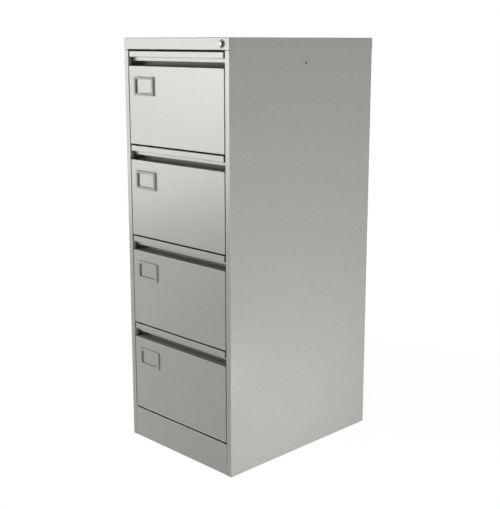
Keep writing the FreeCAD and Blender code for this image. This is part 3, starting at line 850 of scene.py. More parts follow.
@dataclass
class Assembly:
    """Base of the sub-assemblies: it dresses shapes and keeps count of them."""

    finishes: Finishes
    datum: Datum
    made: list[bpy.types.Object] = field(default_factory=list, init=False)

    def dress(
        self,
        shape: Shape,
        name: str,
        slot: Slot,
        body: str = "carcass",
        finish: bpy.types.Material | None = None,
    ) -> bpy.types.Object:
        """Turn a shape into a piece, finish it and hang it on its body.

        Args:
            shape: The shape.
            name: The piece's name.
            slot: Its material slot.
            body: The CAD body it rides on.
            finish: A variant of the slot's own finish.

        Returns:
            The piece.
        """
        piece = shape.object(name)
        piece.data.transform(Matrix.Translation((0.0, self.datum.front * MM, 0.0)))
        piece.data.materials.clear()
        piece.data.materials.append(finish or self.finishes.materials[slot])
        for polygon in piece.data.polygons:
            polygon.use_smooth = True
            polygon.material_index = 0
        piece.data.set_sharp_from_angle(angle=SMOOTH_ANGLE)
        piece.modifiers.new("even_shading", "WEIGHTED_NORMAL").keep_sharp = True
        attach(piece, body)
        self.made.append(piece)
        LOG.info("%s rides on %s", name, body)
        return piece

    def stand_in(
        self,
        shape: Shape,
        node: str,
        slot: Slot,
        body: str = "carcass",
        finish: bpy.types.Material | None = None,
        name: str | None = None,
    ) -> None:
        """Dress a shape that stands for a CAD node, under the node's name or one of its own."""
        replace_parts(self.dress(shape, (name or node) + "_finished", slot, body, finish), node)


@dataclass
class Carcass(Assembly):
    """The folded shell: two sides, a back, a cap, a plinth and a base on four glides."""

    stile: float = 19.2
    stile_return: float = 13.0
    stile_crease: float = 0.4
    side_bend: float = 1.0
    side_foot: float = 1.0
    rear_flange: float = 20.0
    notch: Sequence[float] = (1.5, 5.0, 4.0)  # drop below the top, reach from the front, width
    link_hole: Sequence[float] = (3.5, 1226.0)  # radius, height
    doubler_ends: Flat = (60.0, 40.0)  # from the front, from the rear
    doubler_rise: Flat = (25.0, 10.0)  # below the side's top, below the cap's
    back_inset: float = 3.0
    back_foot: float = 10.0
    back_head: float = 24.0
    back_flange: float = 16.0
    cap_bend: float = 1.8
    cap_corner: float = 2.5
    hem: float = 8.0
    hem_flange: float = 14.0
    hem_gap: float = 1.0
    lock_hole: float = 10.1
    screw_place: Flat = (180.0, 14.0)  # from the middle, above the cap's foot
    screw_hole: Sequence[Flat] = ((4.6, 1.0), (4.1, 0.0), (2.1, -2.0))
    screw: Sequence[Flat] = ((3.9, 0.0), (3.9, -0.25), (2.0, -2.0), (2.0, -9.0))
    screw_cross: Sequence[float] = (0.45, 2.1, 1.2)  # half width, half length, depth
    screw_faces: int = 32
    plinth: float = 100.0
    plinth_step: float = 3.0
    plinth_return: float = 14.0
    plinth_flange: float = 20.0
    plinth_gap: float = 0.8
    base_top: float = 30.0
    base_rim: float = 10.0
    base_front: float = 26.0
    base_rear: float = 3.0
    base_corner: float = 0.8
    base_bend: float = 1.4
    thread_hole: float = 4.05
    nut_size: Flat = (7.5, 6.5)  # radius, height
    nut_chamfer: Flat = (0.8, 0.7)
    glide_places: Sequence[Flat] = ((-200.0, 70.0), (-200.0, 558.0), (200.0, 70.0), (200.0, 558.0))
    glide: Sequence[Flat] = ((17, 0), (16.4, 2.2), (14, 7), (8, 7), (7.4, 5.4), (4, 5.4))
    glide_radii: Sequence[float] = (1.0, 0.8, 1.2, 0.5, 0.5, 0.2)
    thread: Flat = (3.4, 4.0)  # root and crest radii
    thread_ends: Flat = (5.5, 48.0)
    thread_turns: int = 33
    thread_pitch: float = 1.25
    thread_lead: float = 1.1
    thread_rise: float = 0.6
    thread_point: float = 3.0
    thread_faces: int = 20

    def build(self) -> None:
        """Build every piece of the shell."""
        self.side(Hand.RIGHT)
        self.side(Hand.LEFT)
        self.back()
        self.cap()
        self.plinth_panel()
        self.base()
        self.glides()
        self.cap_screws()

    @property
    def opening(self) -> float:
        """Half width between the stiles."""
        return self.datum.half - self.stile

    @property
    def screw_places(self) -> list[tuple[float, float, float]]:
        """Middles of the cap's screw holes."""
        x, rise = self.screw_place
        return [(way * x, self.datum.cap_rear, self.datum.cap_foot + rise) for way in (-1, 1)]

    def side(self, hand: Hand) -> None:
        """Fold a side with its stile, rear flange and the doubler inside the cap.

        Args:
            hand: Which side.
        """
        half, rear, top = self.datum.half, self.datum.rear, self.datum.cap_foot
        gauge, opening, flange = self.datum.gauge, self.opening, half - self.rear_flange
        points = [(opening, self.stile_return), (opening, 0), (half, 0), (half, rear)]
        radii = [self.stile_crease, self.side_bend, self.side_bend]
        fold = Fold([*points, (flange, rear)], radii)
        drop, reach, corner = self.notch
        low, high, outside = top - drop, top + OVER, half + OVER
        cut = Shape()
        cut.block((opening - OVER, -OVER, low), (half - gauge, self.stile_return + OVER, high))
        cut.block((half - corner, -OVER, low), (outside, reach, high))
        cut.block((flange - OVER, rear - BORE_REACH, low), (outside, rear + OVER, high))
        radius, height = self.link_hole
        cut.bore(radius, (half, self.datum.cap_rear / 2, height), Push.SIDEWAYS)
        shape = Shape().sheet(fold, Push.UPWARDS, self.side_foot, top).carve(cut)
        (start, end), (below, above) = self.doubler_ends, self.doubler_rise
        shape.block(
            (half - 2 * gauge, start, top - below),
            (half - gauge, rear - end, self.datum.height - above),
        )
        if hand is Hand.LEFT:
            shape.flip()
        self.stand_in(shape, "side_" + hand.name.lower(), Slot.PAINT)

    def back(self) -> None:
        """Fold the back panel that lies on the rear flanges."""
        wall, top = self.datum.rear - self.datum.gauge, self.datum.cap_foot + self.back_head
        half = self.datum.half - self.back_inset
        fold = Fold([(wall, self.back_foot), (wall, top), (wall - self.back_flange, top)], [0.8])
        shape = Shape().sheet(fold, Push.SIDEWAYS, -half, half)
        self.stand_in(shape, "back_panel", Slot.PAINT)

    def cap(self) -> None:
        """Fold the cap: a pan with a hemmed fascia and a hole for the lock."""
        half, foot = self.datum.half, self.datum.cap_foot
        end, hem = self.opening - self.hem_gap, foot + self.hem
        shape = Shape().pan(
            (-half, 0), (half, self.datum.cap_rear), (self.cap_corner,) * 4, Push.UPWARDS,
            self.datum.height, foot, self.cap_bend,
        )
        cut = Shape().block((-end, -OVER, foot - OVER), (end, self.datum.gauge + OVER, hem))
        lock_x, lock_z = self.datum.lock
        cut.bore(self.lock_hole, (lock_x, 0, lock_z), Push.BACKWARDS)
        for place in self.screw_places:
            cut.turn(self.screw_hole, place, Push.BACKWARDS)
        shape = shape.carve(cut)
        fold = Fold([(0, hem), (0, foot), (self.hem_flange, foot)], [0.8])
        shape.sheet(fold, Push.SIDEWAYS, -end, end)
        self.stand_in(shape, "top_cap", Slot.PAINT)

    def plinth_panel(self) -> None:
        """Fold the panel under the lowest drawer."""
        step, high, low = self.plinth_step, self.plinth, self.side_foot
        points = [(step, high - self.plinth_return), (step, high), (0, high), (0, low)]
        fold = Fold([*points, (self.plinth_flange, low)], [0.4, 0.6, 0.6])
        half = self.opening - self.plinth_gap
        shape = Shape().sheet(fold, Push.SIDEWAYS, -half, half)
        self.stand_in(shape, "plinth_panel", Slot.PAINT)

    def base(self) -> None:
        """Fold the base with its weld nuts."""
        half, top = self.datum.half - self.datum.gauge, self.base_top
        shape = Shape().pan(
            (-half, self.base_front), (half, self.datum.rear - self.base_rear),
            (self.base_corner,) * 4, Push.UPWARDS, top, self.base_rim, self.base_bend,
        )
        cut = Shape()
        for x, y in self.glide_places:
            cut.bore(self.thread_hole, (x, y, top), Push.UPWARDS)
        shape = shape.carve(cut)
        radius, height = self.nut_size
        for x, y in self.glide_places:
            shape.nut((x, y, top), radius, self.thread_hole, height, self.nut_chamfer)
        self.stand_in(shape, "base_pan", Slot.ZINC)

    def glides(self) -> None:
        """Turn the four levelling glides: nylon feet on threaded studs."""
        root, crest = self.thread
        foot, tip = self.thread_ends
        thread = [(root, foot)]
        for k in range(self.thread_turns):
            at = foot + self.thread_lead + self.thread_pitch * k
            thread += [(crest, at), (root, at + self.thread_rise)]
        thread.append((self.thread_point, tip))
        feet, studs = Shape(), Shape()
        for x, y in self.glide_places:
            feet.turn(self.glide, (x, y, 0), Push.UPWARDS, self.glide_radii)
            studs.turn(thread, (x, y, 0), Push.UPWARDS, count=self.thread_faces)
        self.stand_in(feet, "levelling_glides", Slot.NYLON, name="glide_feet")
        self.dress(studs, "glide_studs", Slot.ZINC)

    def cap_screws(self) -> None:
        """Turn the two countersunk screws with their cross recesses."""
        screws, cross = Shape(), Shape()
        thin, wide, deep = self.screw_cross
        for x, y, z in self.screw_places:
            screws.turn(self.screw, (x, y, z), Push.BACKWARDS, count=self.screw_faces)
            for a, b in ((thin, wide), (wide, thin)):
                cross.block((x - a, y - deep, z - b), (x + a, y + OVER, z + b))
        self.stand_in(screws.carve(cross), "cap_screws", Slot.ZINC)


@dataclass
class RunnerFrame(Assembly):
    """Posts on the side walls that carry the runners, and the rails between the drawers."""

    places: Sequence[float] = (75.0, 545.0)
    flange: float = 27.0
    hat: float = 15.0
    floor: float = 30.0
    headroom: float = 30.0
    slot_rise: float = 34.0
    slot_size: Flat = (2.0, 7.0)  # half width, half height
    rail_rise: float = 266.0
    rail_depth: Flat = (62.0, 78.0)
    rail_height: float = 16.0

    def build(self) -> None:
        """Build the posts and the rails."""
        web, gauge = self.datum.runner_web, self.datum.runner_gauge
        wall, face = self.datum.half - self.datum.gauge, web + gauge
        wide, high = self.slot_size
        posts, slots = Shape(), Shape()
        for y in self.places:
            near = [(wall, y - self.flange), (wall, y - self.hat), (face, y - self.hat)]
            far = [(face, y + self.hat), (wall, y + self.hat), (wall, y + self.flange)]
            fold = Fold(near + far, [0.8, 1.0, 1.0, 0.8], gauge)
            posts.sheet(fold, Push.UPWARDS, self.floor, self.datum.cap_foot - self.headroom)
            for number in DRAWERS:
                z = self.datum.drawer_foot(number) + self.datum.runner_rise + self.slot_rise
                slots.block((web - OVER, y - wide, z - high), (face + OVER, y + wide, z + high))
        posts = posts.mirror().carve(slots.mirror())
        self.stand_in(posts, "runner_uprights", Slot.ZINC)

        rails = Shape()
        front, rear = self.rail_depth
        for number in DRAWERS[1:]:
            low = self.datum.drawer_foot(number) + self.rail_rise
            high = low + self.rail_height
            fold = Fold([(rear, high), (front, high), (front, low), (rear, low)], [0.9, 0.9])
            rails.sheet(fold, Push.SIDEWAYS, -web, web)
        # The rails wear the dark zinc copy: painted shade in the gaps between the drawers.
        self.stand_in(rails, "tie_rails", Slot.ZINC, finish=self.finishes.gap_shade)


@dataclass
class Runners(Assembly):
    """Telescopic runners: three nested members a side, with balls between them."""

    start: float = 22.0
    length: float = 545.0
    overlap: float = 11.0
    slide_web: float = 216.6
    lip_gap: float = 2.4
    fixed_size: Flat = (22.5, 3.0)  # half height, lip
    slide_size: Flat = (17.5, 2.9)
    fixed_holes: Sequence[float] = (60.0, 150.0, 300.0, 450.0, 520.0)
    slide_holes: Sequence[float] = (48.0, 120.0, 192.0, 295.0, 398.0, 470.0, 542.0)
    hole_radii: Flat = (4.5, 3.2)  # fixed members, slides
    buffer_reach: float = 5.0
    buffer_half: float = 8.0
    buffer_ends: Flat = (0.5, 7.5)
    buffer_round: Flat = (1.0, 0.6)  # corner, end edges
    member_half: float = 12.2
    member_width: float = 8.2
    member_lip: float = 1.5
    rivet_places: Sequence[float] = (60.0, 180.0, 300.0, 420.0, 540.0)
    rivet: Sequence[Flat] = ((AXIS, 1.5), (2.4, 1.3), (3.1, 0.7), (3.2, -0.2))
    cage_start: float = 200.0
    cage_length: float = 180.0
    cage_half: Flat = (1.3, 0.5)
    cage_round: float = 0.3
    outer_cage: Flat = (6.5, 19.4)  # from the tray, from the runner's middle
    inner_cage: Flat = (5.2, 14.2)
    ball: float = 1.75
    balls: int = 13

    @property
    def end(self) -> float:
        """Rear end of the moving members."""
        return self.start + self.length

    def build(self) -> None:
        """Build the fixed members, then each drawer's own."""
        fixed, holes, buffers = Shape(), Shape(), Shape()
        web, radius = self.datum.runner_web, self.hole_radii[0]
        low_x, high_x = self.datum.tray_half + self.buffer_reach, web - self.datum.runner_gauge
        front, rear = (self.end + at for at in self.buffer_ends)
        corner, edge = self.buffer_round
        for number in DRAWERS:
            z = self.datum.drawer_foot(number) + self.datum.runner_rise
            fold = self.channel(web, self.fixed_size, z)
            fixed.sheet(fold, Push.BACKWARDS, self.start, self.end + self.overlap)
            for y in self.fixed_holes:
                holes.bore(radius, (web, y, z), Push.SIDEWAYS, COARSE)
            low, high = (low_x, z - self.buffer_half), (high_x, z + self.buffer_half)
            buffers.bar(low, high, corner, Push.BACKWARDS, front, rear, edge)
            self.slides(number, z)
            self.member(number, z)
            self.cages(number, z, "outer", self.outer_cage)
            self.cages(number, z, "inner", self.inner_cage)
        fixed = fixed.mirror().carve(holes.mirror())
        self.stand_in(fixed, "cabinet_runners", Slot.ZINC)
        self.stand_in(buffers.mirror(), "runner_buffers", Slot.RUBBER)

    def slides(self, number: int, z: float) -> None:
        """Roll a drawer's middle members.

        Args:
            number: The drawer.
            z: Height of its runners.
        """
        shape, holes = Shape(), Shape()
        fold = self.channel(self.slide_web, self.slide_size, z)
        shape.sheet(fold, Push.BACKWARDS, self.start, self.end)
        for y in self.slide_holes:
            holes.bore(self.hole_radii[1], (self.slide_web, y, z), Push.SIDEWAYS, COARSE)
        shape = shape.mirror().carve(holes.mirror())
        self.stand_in(shape, f"drawer_{number}_slides", Slot.ZINC, f"slides_{number}")

    def member(self, number: int, z: float) -> None:
        """Roll a drawer's own members and rivet them to its tray.

        Args:
            number: The drawer.
            z: Height of its runners.
        """
        gauge, lip = self.datum.runner_gauge, self.member_lip
        high, low = z + self.member_half, z - self.member_half
        tip, inner = self.datum.tray_half + self.member_width - gauge, self.datum.tray_half + gauge
        upper = [(tip, high + lip), (tip, high - gauge), (inner, high - gauge)]
        lower = [(inner, low + gauge), (tip, low + gauge), (tip, low - lip)]
        fold = Fold(upper + lower, [0.3, 1.0, 1.0, 0.3], gauge)
        shape = Shape().sheet(fold, Push.BACKWARDS, self.start, self.end)
        for y in self.rivet_places:
            shape.turn(self.rivet, (inner, y, z), Push.SIDEWAYS, count=COARSE)
        body = f"drawer_{number}"
        self.stand_in(shape.mirror(), body + "_runners", Slot.ZINC, body)

    def cages(self, number: int, z: float, kind: str, place: Flat) -> None:
        """String the balls on their cage strips, above and below a runner.

        Args:
            number: The drawer.
            z: Height of its runners.
            kind: Which pair of members the balls run between.
            place: How far the balls lie from the tray and from the runner's middle.
        """
        x, pitch = self.datum.tray_half + place[0], self.cage_length / self.balls
        (wide, thick), edge = self.cage_half, self.cage_round
        end = self.cage_start + self.cage_length
        balls, strips = Shape(), Shape()
        for at in (z + place[1], z - place[1]):
            low, high = (x - wide, at - thick), (x + wide, at + thick)
            strips.bar(low, high, edge, Push.BACKWARDS, self.cage_start, end, edge)
            for k in range(self.balls):
                balls.ball((x, self.cage_start + pitch * (k + 0.5), at), self.ball)
        name, body = f"drawer_{number}_{kind}", f"{kind}_cages_{number}"
        self.dress(balls.mirror(), name + "_balls", Slot.ZINC, body)
        self.stand_in(strips.mirror(), name + "_cages", Slot.NYLON, body)

    def channel(self, web: float, size: Flat, z: float) -> Fold:
        """Profile of the outer kinds of member, open towards the drawer.

        Args:
            web: Outer face of its web.
            size: Half its height, and the length of the lips that hold the balls in.
            z: Height of the runner.

        Returns:
            The profile.
        """
        half, lip = size
        high, low, tip = z + half, z - half, self.datum.tray_half + self.lip_gap
        lower, upper = [(tip, low + lip), (tip, low), (web, low)], [(web, high), (tip, high)]
        points = [*lower, *upper, (tip, high - lip)]
        return Fold(points, [0.4, 1.3, 1.3, 0.4], self.datum.runner_gauge)


@dataclass
class Drawer(Assembly):
    """A drawer: folded front with a full-width grip, a tray, file rails and a label frame."""

    number: int = 1
    half: float = 215.0
    height: float = 285.0
    panel: float = 240.0
    panel_bend: float = 0.7
    pan_depth: float = 18.0
    corners: Sequence[float] = (0.8, 0.8, 4.5, 4.5)
    hollow: float = 47.0
    hollow_bend: float = 14.0
    hollow_gap: float = 6.0
    cheek_inset: float = 5.0
    cheek_front: float = 25.0
    cheek_gap: float = 0.05
    lip: float = 18.0
    lip_inset: float = 3.5
    ledge: float = 3.0
    lid_drop: float = 8.0
    lid_lap: Flat = (2.0, 12.0)  # behind the hollow, down its rear
    step: float = 17.0
    flange_end: float = 30.5
    flange_roll: Flat = (5.5, 7.0)  # back, up
    nick_gap: float = 5.0
    tray_rear: float = 575.0
    tray_floor: float = 12.0
    tray_top: float = 248.0
    tray_hem: Flat = (10.0, 6.0)  # in, down
    floor_slots: int = 5
    slot_half: Flat = (3.0, 17.0)  # across, along
    slot_corner: float = 2.9
    wall_inset: float = 2.0
    wall_corner: float = 2.0
    tab_foot: float = 205.0
    tab_size: Flat = (9.5, 16.0)
    tab_ends: Flat = (48.5, 50.5)
    tab_round: Flat = (1.0, 0.3)  # corner, end edges
    back_top: float = 228.0
    back_depth: float = 12.0
    back_bend: float = 1.3
    back_corner: float = 1.4
    rail_reach: float = 13.0
    rail_height: float = 8.0
    rail_ends: Flat = (7.0, 15.0)  # behind the hollow, before the tray's rear
    label_centre: Flat = (-141.0, 179.5)
    label_size: Flat = (92.5, 57.0)
    label_bar: float = 7.5
    label_proud: float = 5.5
    label_rim: float = 0.8
    label_edge: float = 0.5
    label_lap: float = 3.0
    label_pocket: float = 1.4
    label_corner: float = 1.4

    def build(self) -> None:
        """Build the drawer's pieces from the front backwards."""
        self.front()
        self.recess()
        self.pull()
        self.label_frame()
        self.tray()
        self.back()
        self.file_rails()

    @property
    def foot(self) -> float:
        """Height of the drawer's lower edge."""
        return self.datum.drawer_foot(self.number)

    @property
    def lid(self) -> float:
        """Height of the hollow's lid."""
        return self.foot + self.height - self.lid_drop

    def hang(self, shape: Shape, part: str, slot: Slot = Slot.PAINT) -> None:
        """Dress a shape that stands for one of the drawer's CAD nodes, named without the drawer."""
        body = f"drawer_{self.number}"
        self.stand_in(shape, f"{body}_{part}", slot, body)

    def front(self) -> None:
        """Fold the main panel."""
        low, high = (-self.half, self.foot), (self.half, self.foot + self.panel)
        shape = Shape()
        shape.pan(low, high, self.corners, Push.BACKWARDS, 0, self.pan_depth, self.panel_bend)
        self.hang(shape, "front")

    def recess(self) -> None:
        """Fold the finger hollow that carries on from the main panel's top edge."""
        top, lid = self.foot + self.panel, self.lid - self.datum.gauge
        half, gap = self.half - self.cheek_inset, self.cheek_gap
        points = [(self.hollow, lid), (self.hollow, top), (self.pan_depth, top)]
        shape = Shape().sheet(Fold(points, [self.hollow_bend]), Push.SIDEWAYS, -half, half)
        for x in (-half, half - self.datum.gauge):
            end = x + self.datum.gauge
            shape.block((x, self.cheek_front, top + gap), (end, self.hollow - gap, lid))
        body = f"drawer_{self.number}"
        # The hollow and its cheeks wear the darker copy of the paint: painted shade in the recess.
        self.dress(shape, body + "_hollow", Slot.PAINT, body, self.finishes.recess)

    def pull(self) -> None:
        """Fold the grip: lid of the hollow, flush lip, step back and rolled flange."""
        top, lid = self.foot + self.height, self.lid
        lip_foot, foot = top - self.lip, top - self.flange_end
        step, ledge, rear = self.step, self.ledge, self.hollow + self.lid_lap[0]
        roll, rise = self.flange_roll
        points = [
            (rear, lid - self.lid_lap[1]), (rear, lid), (ledge, lid), (ledge, top), (0, top),
            (0, lip_foot), (step, lip_foot), (step, foot), (step + roll, foot),
            (step + roll, foot + rise),
        ]
        fold = Fold(points, [0.4, 0.4, 0.4, 0.6, 0.6, 0.5, 0.9, 0.4])
        low = (self.half - self.lip_inset, -OVER, lip_foot - OVER)
        nicks = Shape().block(low, (self.half + OVER, step - self.nick_gap, top + OVER))
        shape = Shape().sheet(fold, Push.SIDEWAYS, -self.half, self.half)
        self.hang(shape.carve(nicks.mirror()), "pull")

    def label_frame(self) -> None:
        """Mould the label frame: a raised rim with a card pocket behind its window."""
        x, z = self.label_centre[0], self.foot + self.label_centre[1]
        wide, high = (size / 2 for size in self.label_size)
        bar, lap, proud = self.label_bar, self.label_lap, self.label_proud
        rim, edge, pocket = self.label_rim, self.label_edge, self.label_pocket
        corner = self.label_corner
        stations = [(0.0, 0.0, corner), (0.0, rim - proud, corner)]
        for angle in (math.pi / 8 * k for k in range(1, 5)):
            drop = rim * (1 - math.sin(angle))
            stations.append((rim * (1 - math.cos(angle)), drop - proud, corner))
        for angle in (math.pi / 6 * k for k in range(4)):
            inset = bar - edge * (1 - math.sin(angle))
            stations.append((inset, edge * (1 - math.cos(angle)) - proud, bar + corner))
        stations += [(bar, -pocket, bar + corner), (bar - lap, -pocket, bar), (bar - lap, 0.0, bar)]
        rows = []
        for inset, depth, radius in stations:
            loop = rounded_loop((x - wide, z - high), (x + wide, z + high), (radius,) * 4, inset)
            rows.append(Push.BACKWARDS.ring(loop, depth))
        shape = Shape()
        shape.skin(rows, closed=True)
        self.hang(shape, "label_frame", Slot.LABEL)

    def tray(self) -> None:
        """Fold the tray: sides and bottom in one, a front wall, hemmed tops and the lock tab."""
        half, front = self.datum.tray_half, self.pan_depth
        low, high = self.foot + self.tray_floor, self.foot + self.tray_top
        hem, turn = half - self.tray_hem[0], high - self.tray_hem[1]
        right = [(half, low), (half, high), (hem, high), (hem, turn)]
        left = [(-x, z) for x, z in reversed(right)]
        fold = Fold(left + right, [0.3, 0.3, 1.2, 1.2, 0.3, 0.3])
        wall_top = self.foot + self.panel - self.wall_inset
        end = self.hollow + self.hollow_gap
        cut = Shape().block((-self.half, front - OVER, wall_top), (self.half, end, high + OVER))
        pitch = (self.tray_rear - front) / self.floor_slots
        x, y = self.slot_half
        for k in range(self.floor_slots):
            at = front + pitch * (k + 0.5)
            slot = rounded_loop((-x, at - y), (x, at + y), (self.slot_corner,) * 4)
            cut.plate(slot, Push.UPWARDS, low - OVER, low + self.datum.gauge + OVER)
        shape = Shape().sheet(fold, Push.BACKWARDS, front + self.datum.gauge, self.tray_rear)
        shape = shape.carve(cut)
        side = self.half - self.wall_inset
        corners = ((-side, self.foot + self.wall_inset), (side, wall_top))
        wall = rounded_loop(*corners, (self.wall_corner,) * 4)
        shape.plate(wall, Push.BACKWARDS, front, front + self.datum.gauge)
        tab, (corner, edge) = self.foot + self.tab_foot, self.tab_round
        high = (half + self.tab_size[0], tab + self.tab_size[1])
        shape.bar((half, tab), high, corner, Push.BACKWARDS, *self.tab_ends, edge)
        self.hang(shape, "tray")

    def back(self) -> None:
        """Fold the low rear wall."""
        half, foot = self.datum.tray_half - self.datum.gauge, self.foot + self.tray_floor
        shape = Shape().pan(
            (-half, foot + self.datum.gauge), (half, self.foot + self.back_top),
            (self.back_corner,) * 4, Push.BACKWARDS,
            self.tray_rear, self.tray_rear - self.back_depth, self.back_bend,
        )
        self.hang(shape, "back")

    def file_rails(self) -> None:
        """Fold the two rails that suspension files hook over."""
        half, high = self.datum.tray_half, self.foot + self.tray_top
        inner, outer = half - self.rail_reach, half - self.datum.gauge
        points = [(inner, high + self.rail_height), (inner, high), (outer, high)]
        start, end = self.hollow + self.rail_ends[0], self.tray_rear - self.rail_ends[1]
        shape = Shape().sheet(Fold(points, [0.8], 1.2), Push.BACKWARDS, start, end)
        self.hang(shape.mirror(), "file_rails", Slot.ZINC)


@dataclass
class LockLinkage(Assembly):
    """What the push lock works: a bar behind the right stile that catches every drawer."""

    front: float = 44.0
    rear: float = 46.0
    edge: float = 223.0
    outer: float = 235.0
    top: float = 1292.0
    tail: float = 175.5
    head: float = 12.0
    bar_radii: Sequence[float] = (1.5, 1.5, 1.0, 1.0, 1.5)
    ramp: Flat = (3.0, 14.0)  # nose and foot, below the bar's top
    ramp_half: float = 5.5
    ramp_weld: Flat = (3.0, 0.5)  # outline's start and end, before the bar's rear
    ramp_inset: float = 0.1
    slant: float = 37.95
    catch: float = 195.5
    catch_height: float = 8.0
    catch_tip: float = 209.0
    catch_nose: Flat = (4.0, 3.0)  # back, up
    catch_radii: Sequence[float] = (1.0, 0.6, 0.6, 0.6, 1.0)
    play: float = 0.6
    guide_places: Sequence[float] = (430.0, 720.0, 1010.0)
    guide_half: float = 10.0
    guide_flange: float = 12.0
    rivet: Sequence[Flat] = ((AXIS, -2.5), (1.9, -2.3), (2.8, -1.7), (3.0, -0.9))
    clip_barrel: float = 10.0
    clip_flat: float = 9.0
    clip_sides: Flat = (15.0, 12.5)  # left, right
    clip_half: float = 13.0
    clip_ends: Flat = (1.0, 2.5)
    clip_steps: int = 12

    def build(self) -> None:
        """Build the bar, its guides and the lock's clip."""
        self.bar()
        self.guides()
        self.clip()

    def bar(self) -> None:
        """Blank the bar with a finger at each drawer and add the wedge that lifts it."""
        lock_x, lock_z = self.datum.lock
        edge, outer, top, neck = self.edge, self.outer, self.top, self.top - self.head
        left, low = lock_x - self.ramp_half, self.datum.drawer_foot(DRAWERS[-1]) + self.tail
        middle = ((edge + outer) / 2, low)
        outline = [middle, (outer, low), (outer, top), (left, top), (left, neck), (edge, neck)]
        radii = [*self.bar_radii]
        tip, (nose, drop) = self.catch_tip, self.catch_nose
        for number in DRAWERS:
            foot = self.datum.drawer_foot(number) + self.catch
            high = foot + self.catch_height
            outline += [(edge, high), (tip, high), (tip, foot + drop)]
            outline += [(tip + nose, foot), (edge, foot)]
            radii += self.catch_radii
        outline += [(edge, low), middle]
        loop = softened(outline, [*radii, self.bar_radii[0]])[:-1]
        shape = Shape().plate(loop, Push.BACKWARDS, self.front, self.rear)

        high, low = (top - drop for drop in self.ramp)
        start, weld = (self.rear - lap for lap in self.ramp_weld)
        slant = self.slant + lock_z
        wedge = [(start, top), (slant - high, top), (slant - high, high), (slant - low, low)]
        wedge += [(weld, low), (weld, top), (start, top)]
        loop = softened(wedge, [0.8, 0.8, 0.8, 0.1, 0.1])[:-1]
        shape.plate(loop, Push.SIDEWAYS, left + self.ramp_inset, lock_x + self.ramp_half)
        self.stand_in(shape, "lock_bar", Slot.ZINC, "lock_bar")

    def guides(self) -> None:
        """Fold the straps that hold the bar to the side, each with its rivet."""
        wall, inner = self.datum.half - self.datum.gauge, self.edge - self.play
        front, rear = self.front - self.play, self.rear + self.play
        points = [(wall, front - self.guide_flange), (wall, front), (inner, front), (inner, rear)]
        fold = Fold([*points, (wall, rear)], [0.6, 0.5, 0.5])
        shape = Shape()
        for z in self.guide_places:
            shape.sheet(fold, Push.UPWARDS, z - self.guide_half, z + self.guide_half)
            place = (wall, front - self.guide_flange / 2, z)
            shape.turn(self.rivet, place, Push.SIDEWAYS, count=COARSE)
        self.stand_in(shape, "lock_bar_guides", Slot.ZINC)

    def clip(self) -> None:
        """Blank the horseshoe clip that holds the lock from behind the fascia."""
        x, z = self.datum.lock
        left, right = x - self.clip_sides[0], x + self.clip_sides[1]
        low, high, flat = z - self.clip_half, z + self.clip_half, self.clip_flat
        outline = [(x + flat, low), (right, low), (right, high), (left, high), (left, low)]
        loop = softened([*outline, (x - flat, low)], [1.2, 2.5, 2.5, 1.2])
        start, steps = math.acos(flat / self.clip_barrel), self.clip_steps
        for k in range(steps + 1):
            angle = math.pi - start - (math.pi - 2 * start) * k / steps
            reach = self.clip_barrel
            loop.append((x + reach * math.cos(angle), z + reach * math.sin(angle)))
        shape = Shape().plate(loop, Push.BACKWARDS, *self.clip_ends)
        self.stand_in(shape, "lock_clip", Slot.ZINC)


@dataclass
class PushLock(Assembly):
    """The push lock in the cap's fascia: bezel and barrel, plunger, and the turning key plug."""

    proud: float = 7.0
    bore: float = 7.58
    barrel: Flat = (10.0, 26.0)  # radius, rear end
    bezel: Sequence[Flat] = ((12.5, 0.0), (12.3, -1.2), (11.3, -2.0), (9.3, -2.0))
    throat: Flat = (3.5, 20.0)
    housing_radii: Sequence[float] = (0.3, 0.05, 0.1, 0.5, 0.6, 0.4, 0.5)
    plunger: Flat = (7.5, 46.0)  # radius, rear end
    slant: Sequence[Flat] = ((25.5, 12.0), (49.5, -12.0), (60.0, -12.0), (60.0, 12.0))
    plug: float = 4.95
    plug_play: float = 0.07
    plug_ends: Flat = (14.0, 15.0)  # the plug's rear, the floor behind it
    key_slot: Sequence[float] = (0.9, 4.0, 3.6)  # half width, rear end, half height

    def build(self) -> None:
        """Turn the visible metal of the lock."""
        x, z = self.datum.lock
        place, face = (x, 0, z), -self.proud
        radius, end = self.barrel
        outline = [(self.bore, end), (radius, end), (radius, 0), *self.bezel]
        outline += [(self.bore, at) for at in self.throat]
        housing = Shape().turn(outline, place, Push.BACKWARDS, self.housing_radii, hollow=True)
        self.stand_in(housing, "lock_housing", Slot.CHROME, finish=self.finishes.bezel)

        seat, floor = self.plug_ends
        inner, (radius, end) = self.plug + self.plug_play, self.plunger
        outline = [(inner, floor), (inner, face), (radius, face), (radius, end)]
        plunger = Shape().turn(outline, place, Push.BACKWARDS, (0.0, 0.35, 0.9, 0.3))
        tail = [(at, z + up) for at, up in self.slant]
        cut = Shape().plate(tail, Push.SIDEWAYS, x - self.barrel[0], x + self.barrel[0])
        self.stand_in(plunger.carve(cut), "lock_plunger", Slot.CHROME, "lock_plunger")

        outline = [(self.plug, face), (self.plug, seat)]
        plug = Shape().turn(outline, place, Push.BACKWARDS, (0.4, 0.3))
        wide, deep, high = self.key_slot
        cut = Shape().block((x - wide, face - OVER, z - high), (x + wide, deep, z + high))
        self.stand_in(plug.carve(cut), "lock_key_plug", Slot.CHROME, "lock_key_plug")


# ---- Studio ----


